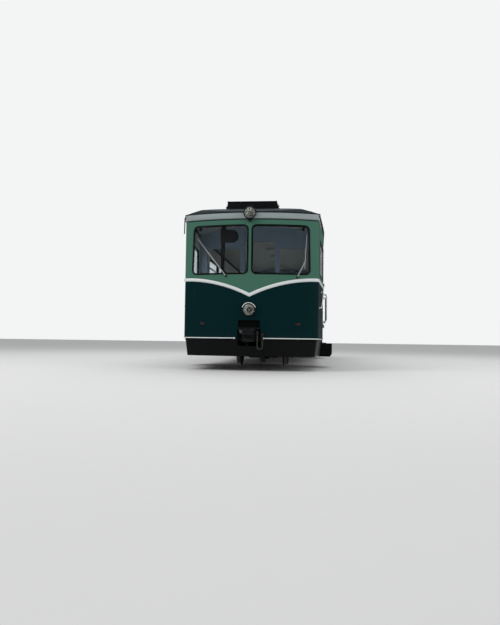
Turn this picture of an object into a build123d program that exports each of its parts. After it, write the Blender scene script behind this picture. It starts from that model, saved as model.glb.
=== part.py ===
from build123d import *
import os
from math import asin, cos, degrees, pi, radians, sin, sqrt

# Rack railway railcar: double-ended, two axles, metre gauge, parked with its current collector folded.
# X runs across the car, Y along it with end A at -Y, Z up. Millimetres.
# All heights are written above the rail head. The whole car is lifted by the flange height when it is
# written out, so that the flange tips stand on Z = 0.

# Body shell
body_length = 11600.0        # over the two bowed fronts
nose_bow = 240.0             # how far a front's middle stands ahead of its corners
corner_half_width = 1250.0
cab_taper = 100.0            # the sides stand this much wider than the corners
taper_length = 1500.0        # cab sides widen over this length behind the corners
corner_radius = 90.0
wall = 45.0
skirt_line = 560.0           # lower edge of the painted shell
eave_header = 85.0           # wall above the windscreens
floor_top = 800.0
floor_thickness = 50.0

# Windscreens
screen_low = 1736.0
screen_height = 916.0
screen_pillar = 50.0
screen_post_low = 144.0       # corner post beside the windscreens, at their lower edge
screen_post_high = 167.0
screen_corner = 95.0
seal_width = 28.0
seal_stand = 6.0
glass_thickness = 8.0
glass_inset = 10.0

# Side windows and doors, measured back from the front corners
cab_window_start = 300.0
cab_window_end = 1600.0
door_start = 1780.0
door_end = 2600.0
saloon_window_start = 2870.0
saloon_window_count = 4
window_pillar = 160.0
window_sill_step = 34.0      # side windows stand this much above the windscreens' lower edge
window_height = 680.0
window_corner = 90.0
side_seal_width = 28.0
door_header = 137.0          # wall above the doors
door_gap = 6.0               # round the hinged edge, top and bottom
door_free_gap = 9.0          # at the edge that swings
door_window_margin = 120.0

# Door hinges and lever handles
hinge_heights = (851.0, 1725.0)
hinge_stand = 24.0           # hinge line outside the door's outer face, clear of the mouldings
barrel_radius = 10.0
barrel_length = 24.0
barrel_gap = 1.0
hinge_pin_radius = 5.0
hinge_pin_clearance = 0.3
hinge_leaf_width = 34.0
hinge_leaf_thickness = 3.0
handle_height = 1500.0
handle_setback = 70.0
handle_length = 130.0
handle_stand = 45.0
handle_radius = 9.0

# Mouldings
band_below_screen = 85.0     # its middle line at the corners, below the windscreens
band_drop = 294.0            # the band dips by this much at the middle of each front
band_width = 62.0
band_stand = 20.0
trim_height = 571.0
trim_width = 18.0
trim_stand = 12.0
trim_gap = 530.0
trim_knob_radius = 17.0
trim_knob_stand = 16.0

# Coupler opening and pocket in each front
notch_half_width = 215.0
notch_top = 745.0
notch_corner = 30.0
pocket_half_width = 200.0
pocket_low = 765.0
pocket_high = 900.0
pocket_depth = 30.0

# Roof
roof_overhang = 18.0
roof_rise = 195.0            # crown above the roof's sides
roof_side_lift = 103.0       # roof's sides above the eaves
roof_shoulder = 70.0        # radius between the roof's side and its arch
roof_thickness = 40.0
roof_front_drop = 145.0      # crown above the roof's front edges
roof_front_run = 600.0       # length over which the roof rises behind each front
cornice_lift = 25.0          # its lower edge above the eaves
cornice_height = 120.0
cornice_depth = 58.0
cornice_return = 60.0        # how far the cornice runs round each corner
drip_recess = 12.0

# Lamps
lamp_low_height = 1086.0
lamp_low_radius = 120.0
lamp_low_stand = 62.0
lamp_roof_lift = 88.0        # centre above the cornice's lower edge
lamp_roof_radius = 118.0
lamp_roof_stand = 75.0
lamp_rim = 20.0
lens_thickness = 14.0
lens_recess = 6.0
visor_thickness = 10.0
visor_stand = 30.0
visor_half_angle = 72.0
tail_lamp_x = 885.0
tail_lamp_height = 835.0
tail_lamp_length = 120.0
tail_lamp_width = 62.0
tail_lamp_stand = 14.0

# Wheelsets and rack pinions
gauge_back_to_back = 940.0
tread_radius = 350.0
flange_height = 28.0
wheel_width = 110.0
wheelbase = 5600.0
axle_radius = 65.0
journal_radius = 45.0
journal_end = 830.0
rack_pitch = 100.0
pinion_teeth = 19
pinion_addendum = 28.0
pinion_dedendum = 34.0
pinion_width = 110.0
drum_radius = 235.0
drum_width = 90.0

# Axle boxes, guards and springs
box_inner = 690.0
box_outer = 850.0
box_half = 100.0
journal_clearance = 0.3
guard_thickness = 14.0      # guards stand on the sole bars' inner faces
leaf_count = 5
leaf_thickness = 12.0
leaf_width = 68.0
leaf_half_length = 500.0
leaf_step = 75.0
leaf_radius = 2800.0

# Underframe
sole_bar_inner = 720.0
sole_bar_outer = 800.0
frame_low = 560.0
frame_setback = 550.0        # headstocks' inner faces behind the fronts' middles
headstock_thickness = 60.0
headstock_end_gap = 130.0    # inside the body's corners
headstock_low = 520.0
transom_width = 100.0
transom_low = 600.0
section_thickness = 12.0
outrigger_end_setback = 1260.0   # behind the corners
outrigger_axle_setback = 1300.0  # inward from each axle
hanger_offset = 450.0        # brake hanger transoms, outward from each axle
motor_offset = 600.0         # motor centre, inward from each axle
motor_radius = 230.0
motor_inner_end = 200.0
motor_outer_end = -400.0
motor_ring_stand = 9.0
motor_ring_width = 26.0
motor_cover_half = 70.0
motor_cover_stand = 14.0
gear_case_width = 130.0
gear_case_axle_radius = 205.0
gear_case_motor_radius = 160.0
gear_case_bore_clearance = 10.0
shoe_gap = 6.0
shoe_thickness = 42.0
shoe_half_angle = 20.0
brake_beam_radius = 15.0
brake_beam_back = 8.0        # its middle line behind the shoes' outer face
tank_radius = 150.0
tank_length = 1400.0
tank_x = 320.0
tank_height = 440.0
case_low = 290.0
case_width = 410.0
case_setback = 110.0         # inside the body's side
case_length = 1150.0
case_offset = 720.0
case_lid_stand = 6.0
case_lid_margin = 24.0

# Aprons and door steps
apron_low = 240.0
apron_top_inset = 20.0
apron_low_inset = 58.0
apron_thickness = 8.0
apron_end = 1640.0           # back from the front corners
step_reach = 198.0           # outside the body's side
step_depth = 298.0
step_top = 486.0
step_low = 212.0
step_plate = 8.0
step_margin = 80.0           # past the door on each side

# Couplers and hoses
coupler_height = 600.0
coupler_shank = 90.0
coupler_reach = 170.0        # how far the head stands ahead of the front
coupler_head_length = 140.0
coupler_head_width = 210.0
coupler_head_height = 190.0
coupler_jaw_height = 60.0
coupler_jaw_depth = 95.0
coupler_pin_radius = 17.0
hose_radius = 14.0
hose_x = 160.0
hose_span = 95.0
hose_low = 380.0
hose_ahead = 60.0

# Handrails and roof spouts
rail_radius = 14.0
rail_stand = 75.0
door_rail_low = 950.0
door_rail_high = 1520.0
door_rail_margin = 95.0
cab_rail_radius = 11.0
cab_rail_stand = 42.0
cab_rail_low_end = (330.0, -486.0)   # back from the corner, and above the band's middle line
cab_rail_high_end = (980.0, -141.0)
spout_radius = 10.0
spout_table = (                      # outside the corner, back from it, above the cornice's lower edge
    (-150.0, 10.0, 163.0),
    (18.0, -6.0, 70.0),
    (87.0, 280.0, -179.0),
)

# Roof box over each front
roof_box_half_width = 465.0
roof_box_start = 40.0        # back from the front corners
roof_box_length = 420.0
roof_box_rise = 111.0        # above the crown
roof_box_sink = 135.0        # how far its walls reach below the crown
louvre_count = 4
louvre_pitch = 36.0
louvre_height = 16.0
louvre_depth = 10.0
louvre_margin = 40.0
lid_thickness = 8.0
lid_overhang = 12.0
box_foot_width = 30.0
box_foot_reach = 34.0
box_foot_height = 90.0       # below the lid

# Wipers
wiper_pivot_radius = 22.0
wiper_arm_width = 16.0
wiper_blade_width = 14.0
wiper_ahead = 20.0
wiper_thickness = 8.0

# Inside
partition_position = 1690.0  # back from the front corners
partition_thickness = 30.0
doorway_half_width = 330.0
doorway_header = 87.0
partition_window_drop = 20.0 # lower edge below the side windows' sills
partition_window_rise = 50.0 # upper edge above the side windows
partition_window_inner = 420.0
partition_window_margin = 100.0
desk_depth = 430.0
desk_below_screen = 136.0
desk_clearance = 3.0
bench_inner = 330.0
bench_wall_gap = 10.0
bench_height = 430.0
bench_depth = 470.0
bench_back_height = 930.0
bench_back_thickness = 70.0
bench_gap = 12.0
driver_seat_x = 450.0
driver_seat_setback = 1080.0  # back from the front corners
blind_post_x = -525.0
blind_post_radius = 20.0
blind_setback = 0.0          # back from the front corners
blind_width = 310.0
blind_drop = 40.0            # board's top below the windscreens' upper edge
blind_height = 245.0
blind_thickness = 12.0
blind_corner = 60.0

# Current collector on the roof
collector_position = 2300.0  # centre, back from the front corners at end A
pivot_offset = 140.0
pivot_rise = 200.0           # base pivots above the roof's crown
arm_length = 900.0
fold_angle = 4.0
base_half_length = 330.0
base_half_width = 420.0
base_bar = 45.0
base_rise = 95.0             # base bars above the roof's crown
insulator_radius = 45.0
insulator_core = 26.0
insulator_step = 30.0        # from shed to shed
insulator_sheds = 3
base_spring_x = 150.0
base_spring_radius = 24.0
base_spring_rod = 8.0
base_spring_length = 380.0
insulator_x = 330.0
shaft_radius = 16.0
shaft_clearance = 0.3
arm_radius = 15.0
lower_arm_x = 350.0
upper_arm_x = 305.0
eye_radius = 26.0
eye_width = 26.0
strip_half_length = 330.0
strip_width = 60.0
strip_height = 40.0
strip_rise = 150.0           # strips above the head pivots
horn_drop = 70.0
horn_reach = 120.0

# Upper panes of the saloon windows
sash_drop = 200.0            # rail's middle below the windows' upper edge
sash_rail_height = 28.0
sash_outer_stand = 8.0
sash_inner_stand = 12.0

# Worked-out sizes
main_half_width = corner_half_width + cab_taper
screen_half_width_low = corner_half_width - screen_post_low
screen_half_width_high = corner_half_width - screen_post_high
case_outer = main_half_width - case_setback
case_inner = case_outer - case_width
headstock_half_width = corner_half_width - headstock_end_gap
step_outer = main_half_width + step_reach
step_inner = step_outer - step_depth
partition_window_outer = corner_half_width - partition_window_margin
bench_outer = main_half_width - wall - bench_wall_gap
screen_high = screen_low + screen_height
window_low = screen_low + window_sill_step
window_high = window_low + window_height
eave_height = screen_high + eave_header
door_top = eave_height - door_header
band_side_height = screen_low - band_below_screen
roof_side_height = eave_height + roof_side_lift
roof_crown = roof_side_height + roof_rise
roof_front_height = roof_crown - roof_front_drop
cornice_low = eave_height + cornice_lift
cornice_high = cornice_low + cornice_height
lamp_roof_height = cornice_low + lamp_roof_lift
frame_half_length = body_length / 2 - frame_setback
roof_box_top = roof_crown + roof_box_rise
roof_box_low = roof_crown - roof_box_sink
desk_top = screen_low - desk_below_screen
doorway_top = eave_height - doorway_header
partition_window_low = window_low - partition_window_drop
partition_window_high = window_high + partition_window_rise
blind_high = screen_high - blind_drop
blind_low = blind_high - blind_height
pivot_height = roof_crown + pivot_rise
base_low = roof_crown + base_rise
corner_y = body_length / 2 - nose_bow
axle_y = wheelbase / 2
taper_y = corner_y - taper_length
saloon_window_span = 2 * (corner_y - saloon_window_start)
saloon_window_width = (saloon_window_span - (saloon_window_count - 1) * window_pillar) / saloon_window_count
window_pitch = saloon_window_width + window_pillar
front_radius = (corner_half_width ** 2 + nose_bow ** 2) / (2 * nose_bow)
floor_low = floor_top - floor_thickness
clear_past = 400.0           # cutting tools run past what they cut by this much


def plan_face(inset):
    """Plan outline of the body, moved inwards by inset."""
    nose = body_length / 2 - inset
    corner = corner_y - inset
    corner_x = corner_half_width - inset
    side_x = main_half_width - inset
    outline = [
        ThreePointArc((-corner_x, -corner), (0, -nose), (corner_x, -corner)),
        Line((corner_x, -corner), (side_x, -taper_y)),
        Line((side_x, -taper_y), (side_x, taper_y)),
        Line((side_x, taper_y), (corner_x, corner)),
        ThreePointArc((corner_x, corner), (0, nose), (-corner_x, corner)),
        Line((-corner_x, corner), (-side_x, taper_y)),
        Line((-side_x, taper_y), (-side_x, -taper_y)),
        Line((-side_x, -taper_y), (-corner_x, -corner)),
    ]
    face = make_face(outline)
    corners = [point for point in face.vertices() if abs(point.Y) > taper_y + 1]
    return fillet(corners, max(corner_radius - inset, 5.0))


def slab(inset, low, high):
    """Body outline between two heights."""
    return Pos(0, 0, low) * extrude(plan_face(inset), high - low)


def ring(outer_inset, inner_inset, low, high):
    """Strip of wall that follows the body outline."""
    return slab(outer_inset, low, high) - slab(inner_inset, low, high)


def block(x_range, y_range, z_range):
    """Box from three ranges."""
    size = [high - low for low, high in (x_range, y_range, z_range)]
    middle = [(high + low) / 2 for low, high in (x_range, y_range, z_range)]
    return Pos(*middle) * Box(*size)


def front_prism(sketch):
    """Outline drawn in X and Z, run forward from the middle of the car through end A."""
    return extrude(Plane.XZ * sketch, body_length / 2 + clear_past)


def side_prism(sketch, reach=main_half_width + clear_past):
    """Outline drawn in Y and Z, run through both sides."""
    return extrude(Plane.YZ * sketch, reach, both=True)


def turned(shape):
    """The same piece at end B."""
    return shape.rotate(Axis.Z, 180)


def both_ends(shape):
    return Compound(children=[shape, turned(shape)])


def solids_of(*shapes):
    """One compound of all the solids in some shapes."""
    return Compound(children=[solid for shape in shapes for solid in shape.solids()])


def front_y(x, inset=0.0):
    """Y of end A's front face at a distance from the middle."""
    bow = front_radius - sqrt(front_radius ** 2 - x ** 2)
    return -(body_length / 2 - inset) + bow


def back_from_corner(distance):
    """Y at a distance behind end A's corners."""
    return distance - corner_y


def side_x_at(distance):
    """Half width of the body at a distance behind the corners."""
    share = min(distance / taper_length, 1.0)
    return corner_half_width + share * (main_half_width - corner_half_width)


def tube(points, radius, bend):
    """Round bar along straight runs joined by arcs."""
    path = FilletPolyline(*points, radius=bend)
    start = Plane(origin=path @ 0, z_dir=path % 0)
    return sweep(start * Circle(radius), path=path)


def cylinder_x(radius, start, end, y, z):
    return Pos((start + end) / 2, y, z) * Rot(0, 90, 0) * Cylinder(radius, end - start)


def cylinder_y(radius, start, end, x, z):
    return Pos(x, (start + end) / 2, z) * Rot(90, 0, 0) * Cylinder(radius, end - start)


# Window outlines
def screen_sketch(side, margin=0.0):
    """One windscreen pane in X and Z. Side is 1 or -1, margin shrinks it."""
    inner = screen_pillar / 2 + margin
    points = [
        (side * inner, screen_low + margin),
        (side * (screen_half_width_low - margin), screen_low + margin),
        (side * (screen_half_width_high - margin), screen_high - margin),
        (side * inner, screen_high - margin),
    ]
    face = make_face(Polyline(*points, close=True))
    return fillet(face.vertices(), screen_corner - margin)


def side_window_sketch(start, end, margin=0.0):
    """One side window in Y and Z between two places along the car."""
    width = end - start - 2 * margin
    height = window_high - window_low - 2 * margin
    place = Pos((start + end) / 2, (window_low + window_high) / 2)
    return place * RectangleRounded(width, height, window_corner - margin)


saloon_window_starts = [
    back_from_corner(saloon_window_start) + number * window_pitch for number in range(saloon_window_count)
]
saloon_windows = [(start, start + saloon_window_width) for start in saloon_window_starts]
cab_windows = [
    (back_from_corner(cab_window_start), back_from_corner(cab_window_end)),
    (-back_from_corner(cab_window_end), -back_from_corner(cab_window_start)),
]
door_window = (back_from_corner(door_start + door_window_margin), back_from_corner(door_end - door_window_margin))
fixed_side_windows = saloon_windows + cab_windows


def screens(margin):
    pieces = [front_prism(screen_sketch(side, margin)) for side in (-1, 1)]
    return pieces + [turned(piece) for piece in pieces]


def side_openings(windows, margin):
    return [side_prism(side_window_sketch(start, end, margin)) for start, end in windows]


def side_strips(outer_inset, inner_inset):
    """Wall strips along the window height, at both sides and both fronts."""
    return ring(outer_inset, inner_inset, window_low - clear_past, window_high + clear_past)


# Shell panels
shell = ring(0, wall, skirt_line, eave_height)
for opening in screens(0) + side_openings(fixed_side_windows, 0):
    shell = shell - opening

door_y = (back_from_corner(door_start), back_from_corner(door_end))
across = (-main_half_width - clear_past, main_half_width + clear_past)


def coupler_notch():
    sketch = Rectangle(2 * notch_half_width, 2 * (notch_top - skirt_line))
    sketch = fillet(sketch.vertices(), notch_corner)
    return front_prism(Pos(0, skirt_line) * sketch)


def hinge_barrels(first, last, drop=0.0):
    """Barrels of the door hinges at the right door of end A. Segments 0 and 2 stay on the post."""
    x = main_half_width + hinge_stand
    y = door_y[0] + door_gap / 2
    segment = barrel_length + barrel_gap
    pieces = []
    for height in hinge_heights:
        for number in range(first, last, 2):
            middle = height + (number - 1) * segment - drop
            pieces.append(Pos(x, y, middle) * Cylinder(barrel_radius, barrel_length))
    return pieces


def hinge_leaf(direction):
    """Leaves between barrels and panel. Direction 1 is the door's side, -1 the post's."""
    x = main_half_width
    y = door_y[0] + door_gap / 2
    segment = barrel_length + barrel_gap
    numbers = (1,) if direction > 0 else (0, 2)
    pieces = []
    for height in hinge_heights:
        for number in numbers:
            middle = height + (number - 1) * segment
            near = y + direction * (door_gap / 2)
            far = y + direction * hinge_leaf_width
            leaf = block((x, x + hinge_leaf_thickness), (min(near, far), max(near, far)),
                         (middle - barrel_length / 2, middle + barrel_length / 2))
            neck_far = y + direction * (door_gap / 2 + barrel_radius)
            neck = block((x, x + hinge_stand), (min(y, neck_far), max(y, neck_far)),
                         (middle - barrel_length / 2, middle + barrel_length / 2))
            pieces += [leaf, neck]
    return pieces


def post_hinges():
    """What stays on the door post: outer barrels, leaves and the pins."""
    x = main_half_width + hinge_stand
    y = door_y[0] + door_gap / 2
    pin_length = 3 * barrel_length + 2 * barrel_gap
    pins = [Pos(x, y, height) * Cylinder(hinge_pin_radius, pin_length) for height in hinge_heights]
    body = hinge_barrels(0, 3) + hinge_leaf(-1)
    clear = block((main_half_width - wall, main_half_width), (door_y[0] - clear_past, door_y[1]),
                  (skirt_line, eave_height))
    total = body[0].fuse(*body[1:], *pins)
    return total - clear


def make_cab_front():
    front_zone = block(across, (-body_length, back_from_corner(door_start)), (0, eave_height + 1))
    panel = shell & front_zone
    panel = panel - coupler_notch()
    pocket_sketch = Pos(0, (pocket_low + pocket_high) / 2) * Rectangle(
        2 * pocket_half_width, pocket_high - pocket_low)
    pocket = front_prism(pocket_sketch) - slab(pocket_depth, 0, eave_height)
    panel = panel - pocket
    right = post_hinges()
    left = right.mirror(Plane.YZ)
    return panel + right + left


def make_side_wall():
    """Wall between the doors at the right side, with the headers over both doors."""
    zone = block((0, across[1]), (door_y[0], -door_y[0]), (0, eave_height + 1))
    panel = shell & zone
    for low, high in (door_y, (-door_y[1], -door_y[0])):
        panel = panel - block((0, across[1]), (low, high), (0, door_top))
    return panel


def make_door():
    """Right door of end A, with its band, lower trim, hinge barrels and lever handle."""
    y_range = (door_y[0] + door_gap, door_y[1] - door_free_gap)
    x_range = (main_half_width - wall, main_half_width)
    leaf = block(x_range, y_range, (skirt_line + door_gap, door_top - door_gap))
    leaf = leaf - side_prism(side_window_sketch(*door_window))
    for layer in band_layers:
        leaf = leaf + side_band(layer, y_range)
    leaf = leaf + block((main_half_width, main_half_width + trim_stand), y_range,
                        (trim_height - trim_width / 2 + door_gap, trim_height + trim_width / 2 + door_gap))
    hinge = hinge_barrels(1, 2) + hinge_leaf(1)
    x = main_half_width + hinge_stand
    y = door_y[0] + door_gap / 2
    leaf = leaf.fuse(*hinge)
    for height in hinge_heights:
        leaf = leaf - Pos(x, y, height) * Cylinder(hinge_pin_radius + hinge_pin_clearance, 2 * barrel_length)
    return leaf + door_handle(y_range[1] - handle_setback)


def door_handle(y):
    """Lever handle on a round rose."""
    x = main_half_width
    rose = cylinder_x(24, x, x + 8, y, handle_height)
    neck = cylinder_x(handle_radius - 2, x, x + handle_stand, y, handle_height)
    lever = cylinder_y(handle_radius, y - handle_length, y + handle_radius, x + handle_stand, handle_height)
    return rose + neck + lever


# Band mouldings: each layer is (share of the width, share of the stand)
band_layers = ((1.0, 0.5), (0.72, 0.82), (0.4, 1.0))


def band_front_sketch(width):
    """V-shaped band on a front: two arcs, level at the corners."""
    radius = (corner_half_width ** 2 + band_drop ** 2) / (2 * band_drop)
    reach = main_half_width + clear_past
    mid_x = corner_half_width / 2
    mid_drop = radius - sqrt(radius ** 2 - mid_x ** 2)
    halves = []
    for side in (-1, 1):
        edges = []
        for shift in (-width / 2, width / 2):
            level = band_side_height + shift
            edges.append(ThreePointArc((0, level - band_drop), (side * mid_x, level - mid_drop),
                                       (side * corner_half_width, level)))
            edges.append(Line((side * corner_half_width, level), (side * reach, level)))
        edges.append(Line((0, band_side_height - band_drop - width / 2),
                          (0, band_side_height - band_drop + width / 2)))
        edges.append(Line((side * reach, band_side_height - width / 2),
                          (side * reach, band_side_height + width / 2)))
        halves.append(make_face(edges))
    return halves[0] + halves[1]


def front_band():
    """Band round end A, back to the door post."""
    zone = block(across, (-body_length, door_y[0] - 0.5), (0, eave_height))
    total = None
    for width_share, stand_share in band_layers:
        width = band_width * width_share
        strip = ring(-band_stand * stand_share, 0, band_side_height - band_drop - band_width,
                     band_side_height + band_width)
        piece = strip & front_prism(band_front_sketch(width)) & zone
        total = piece if total is None else total + piece
    return total


def side_band(layer, y_range):
    width_share, stand_share = layer
    half = band_width * width_share / 2
    return block((main_half_width, main_half_width + band_stand * stand_share), y_range,
                 (band_side_height - half, band_side_height + half))


def side_wall_band():
    y_range = (door_y[1] + 0.5, -door_y[1] - 0.5)
    pieces = [side_band(layer, y_range) for layer in band_layers]
    right = pieces[0] + pieces[1] + pieces[2]
    return [right, right.mirror(Plane.YZ)]


def front_trims():
    """Lower trim of end A: two lengths with a knob at each inner end."""
    strip = ring(-trim_stand, 0, trim_height - trim_width / 2, trim_height + trim_width / 2)
    pieces = []
    for side in (-1, 1):
        near, far = trim_gap / 2, main_half_width + clear_past
        zone = block((min(side * near, side * far), max(side * near, side * far)),
                     (-body_length, door_y[0] - 0.5), (0, eave_height))
        x = side * trim_gap / 2
        knob_strip = ring(-trim_knob_stand, 0, skirt_line, trim_height + trim_knob_radius)
        knob = knob_strip & front_prism(Pos(x, trim_height) * Circle(trim_knob_radius))
        pieces.append((strip & zone) + knob)
    return pieces


def side_trims():
    right = block((main_half_width, main_half_width + trim_stand), (door_y[1] + 0.5, -door_y[1] - 0.5),
                  (trim_height - trim_width / 2, trim_height + trim_width / 2))
    return [right, right.mirror(Plane.YZ)]


# Glass and seals
def fitted(prisms_outer, prisms_inner, outer_inset, inner_inset):
    """Rings of wall strip between two sets of prisms, or plain panes with no inner set."""
    strip = side_strips(outer_inset, inner_inset)
    pieces = []
    for number, prism in enumerate(prisms_outer):
        piece = strip & prism
        if prisms_inner:
            piece = piece - prisms_inner[number]
        pieces += piece.solids()
    return Compound(children=pieces)


def make_door_window():
    """Glass and seal of the right door of end A."""
    outer = side_prism(side_window_sketch(*door_window))
    inner = side_prism(side_window_sketch(*door_window, margin=side_seal_width))
    right = block((0, across[1]), (-body_length, 0), (0, eave_height))
    seal = (ring(-seal_stand, wall - seal_stand, window_low, window_high) & outer & right) - inner
    pane_strip = ring(glass_inset, glass_inset + glass_thickness, window_low, window_high)
    return seal, pane_strip & inner & right


def make_sash_rails():
    """Rails across the right saloon windows, outside and inside the glass, below the upper panes."""
    middle = window_high - sash_drop
    z_range = (middle - sash_rail_height / 2, middle + sash_rail_height / 2)
    outer = main_half_width - glass_inset
    inner = outer - glass_thickness
    pieces = []
    for start in saloon_window_starts:
        y_range = (start + side_seal_width, start + saloon_window_width - side_seal_width)
        pieces.append(block((outer, outer + sash_outer_stand), y_range, z_range))
        pieces.append(block((inner - sash_inner_stand, inner), y_range, z_range))
    return pieces


# Roof
def roof_section(drop):
    """Cross section of the roof in X and Z, lowered and narrowed by drop."""
    half = main_half_width + roof_overhang - drop
    crown = roof_crown - drop
    low = eave_height - 1
    rise = roof_crown - roof_side_height
    arch_radius = (half ** 2 + rise ** 2) / (2 * rise)
    arch_middle = crown - arch_radius
    shoulder = roof_shoulder - drop
    middle_x = half - shoulder
    middle_z = arch_middle + sqrt((arch_radius - shoulder) ** 2 - middle_x ** 2)
    meet = asin(middle_x / (arch_radius - shoulder))
    between = (meet + pi / 2) / 2
    arch_end = (arch_radius * sin(meet), arch_middle + arch_radius * cos(meet))
    bend = (middle_x + shoulder * sin(between), middle_z + shoulder * cos(between))
    edges = [
        Line((-half, low), (-half, middle_z)),
        ThreePointArc((-half, middle_z), (-bend[0], bend[1]), (-arch_end[0], arch_end[1])),
        ThreePointArc((-arch_end[0], arch_end[1]), (0, crown), arch_end),
        ThreePointArc(arch_end, bend, (half, middle_z)),
        Line((half, middle_z), (half, low)),
        Line((half, low), (-half, low)),
    ]
    return make_face(edges)


def roof_profile(drop):
    """Side view of the roof in Y and Z: it rises behind each front on an arc, then runs level."""
    nose = body_length / 2 + roof_overhang - drop
    run = roof_front_run
    rise = roof_crown - roof_front_height
    radius = (run ** 2 + rise ** 2) / (2 * rise)
    half_angle = asin(run / radius) / 2
    mid_run = radius * sin(half_angle)
    mid_drop = radius - radius * cos(half_angle)
    crown = roof_crown - drop
    low = eave_height - 1
    edges = [Line((-nose, low), (-nose, crown - rise))]
    edges.append(ThreePointArc((-nose, crown - rise), (-nose + run - mid_run, crown - mid_drop),
                               (-nose + run, crown)))
    edges.append(Line((-nose + run, crown), (nose - run, crown)))
    edges.append(ThreePointArc((nose - run, crown), (nose - run + mid_run, crown - mid_drop),
                               (nose, crown - rise)))
    edges.append(Line((nose, crown - rise), (nose, low)))
    edges.append(Line((nose, low), (-nose, low)))
    return make_face(edges)


def roof_solid(drop, inset, low):
    """Domed solid under the roof surface, from a height up."""
    section = extrude(Plane.XZ * roof_section(drop), body_length, both=True)
    profile = side_prism(roof_profile(drop))
    return slab(inset, low, roof_crown + 1) & section & profile


def cornice_zone(spare=0.0):
    """Where end A's cornice lies. Spare moves its outer face out."""
    zone = block(across, (-body_length, back_from_corner(cornice_return)), (cornice_low, cornice_high))
    return ring(-roof_overhang - spare, cornice_depth - roof_overhang, cornice_low, cornice_high) & zone


def make_cornice():
    """Cornice of end A, its top corners cut to the roof's curve."""
    return cornice_zone() & extrude(Plane.XZ * roof_section(0), body_length, both=True)


def make_roof():
    outer = roof_solid(0, -roof_overhang, cornice_low)
    lip = slab(drip_recess, eave_height, cornice_low)
    inner = roof_solid(roof_thickness, wall + drip_recess, eave_height)
    hollow = inner + slab(wall + drip_recess, eave_height, cornice_low + 1)
    roof = outer + lip - hollow
    space = cornice_zone(spare=10)
    return roof - space - turned(space)


# Lamps
def lamp_shell(x, z, radius, stand, depth):
    """Round lamp body with a rim, open at the front for its lens."""
    face = front_y(x)
    profile = [
        (0, 0), (0, depth + stand - lens_recess - lens_thickness), (radius - lamp_rim, depth + stand - lens_recess
                                                                   - lens_thickness),
        (radius - lamp_rim, depth + stand), (radius - lamp_rim / 2, depth + stand + 4), (radius, depth + stand),
        (radius, depth + stand - 30), (radius * 0.93, depth + stand - 45), (radius * 0.8, 0),
    ]
    sketch = make_face(Polyline(*profile, close=True))
    body = revolve(Plane.XY * sketch, Axis.Y)
    return Pos(x, face + depth, z) * Rot(0, 0, 180) * body


def lamp_lens(x, z, radius, stand):
    """Slightly domed lens set in the rim."""
    face = front_y(x)
    front = face - stand + lens_recess
    flat = cylinder_y(radius - lamp_rim, front, front + lens_thickness, x, z)
    return flat


def low_visor():
    """Bright strip that stands over the upper edge of the lower lamp."""
    inner = lamp_low_radius
    outer = lamp_low_radius + visor_thickness
    face = front_y(0)
    hoop = Circle(outer) - Circle(inner)
    angle = radians(90 - visor_half_angle)
    far = 2 * outer
    wedge = make_face(Polyline((0, 0), (far * cos(angle), far * sin(angle)), (far, far), (-far, far),
                               (-far * cos(angle), far * sin(angle)), close=True))
    strip = Pos(0, lamp_low_height) * (hoop & wedge)
    front = -face + lamp_low_stand + visor_stand
    body = extrude(Plane.XZ * strip, front)
    body = body & block(across, (-body_length, face + nose_bow), (0, eave_height))
    return body - slab(0, 0, eave_height)


def make_headlamps():
    """Lamp bodies of end A, seated on the bowed front and on the cornice."""
    low = lamp_shell(0, lamp_low_height, lamp_low_radius, lamp_low_stand, 20) - slab(0, 0, eave_height)
    high = lamp_shell(0, lamp_roof_height, lamp_roof_radius, lamp_roof_stand + roof_overhang, 20)
    bracket = block((-32, 32), (front_y(0) - 70, front_y(0) + 20),
                    (lamp_roof_height - lamp_roof_radius - 34, lamp_roof_height - lamp_roof_radius + 12))
    high = high + bracket - slab(0, 0, eave_height) - slab(drip_recess, 0, cornice_low)
    high = high - slab(-roof_overhang, cornice_low, cornice_high) - roof_solid(0, -roof_overhang, cornice_low)
    return [low, high]


def make_tail_lamps():
    pieces = []
    for side in (-1, 1):
        x = side * tail_lamp_x
        oval = Pos(x, tail_lamp_height) * SlotOverall(tail_lamp_length, tail_lamp_width)
        strip = ring(-tail_lamp_stand, 0, tail_lamp_height - tail_lamp_width, tail_lamp_height + tail_lamp_width)
        pieces.append(strip & front_prism(oval))
    return pieces


# Wheelsets
def wheel_profile():
    """Half section of one wheel in X and radius, right side."""
    back = gauge_back_to_back / 2
    front = back + wheel_width
    flange = tread_radius + flange_height
    hub = axle_radius + 55
    rim = tread_radius - 55
    return Polyline(
        (back, rim - 5), (back, flange - 12), (back + 8, flange), (back + 18, flange), (back + 30, tread_radius + 4),
        (front - 6, tread_radius - 3), (front, tread_radius - 9), (front, rim), (front - 38, rim - 22),
        (front - 46, hub + 14), (front + 6, hub), (front + 6, axle_radius), (back - 16, axle_radius),
        (back - 16, hub), (back + 42, hub + 20), (back + 48, rim - 26), close=True)


def pinion_outline():
    """Rack pinion teeth with straight flanks."""
    pitch_radius = pinion_teeth * rack_pitch / (2 * pi)
    tip = pitch_radius + pinion_addendum
    root = pitch_radius - pinion_dedendum
    tip_half = 13.0 / tip
    root_half = 37.0 / root
    points = []
    for number in range(pinion_teeth):
        middle = 2 * pi * number / pinion_teeth + pi / 2 + pi
        for angle, radius in ((middle - root_half, root), (middle - tip_half, tip),
                              (middle + tip_half, tip), (middle + root_half, root)):
            points.append((radius * cos(angle), radius * sin(angle)))
    return make_face(Polyline(*points, close=True))


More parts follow.
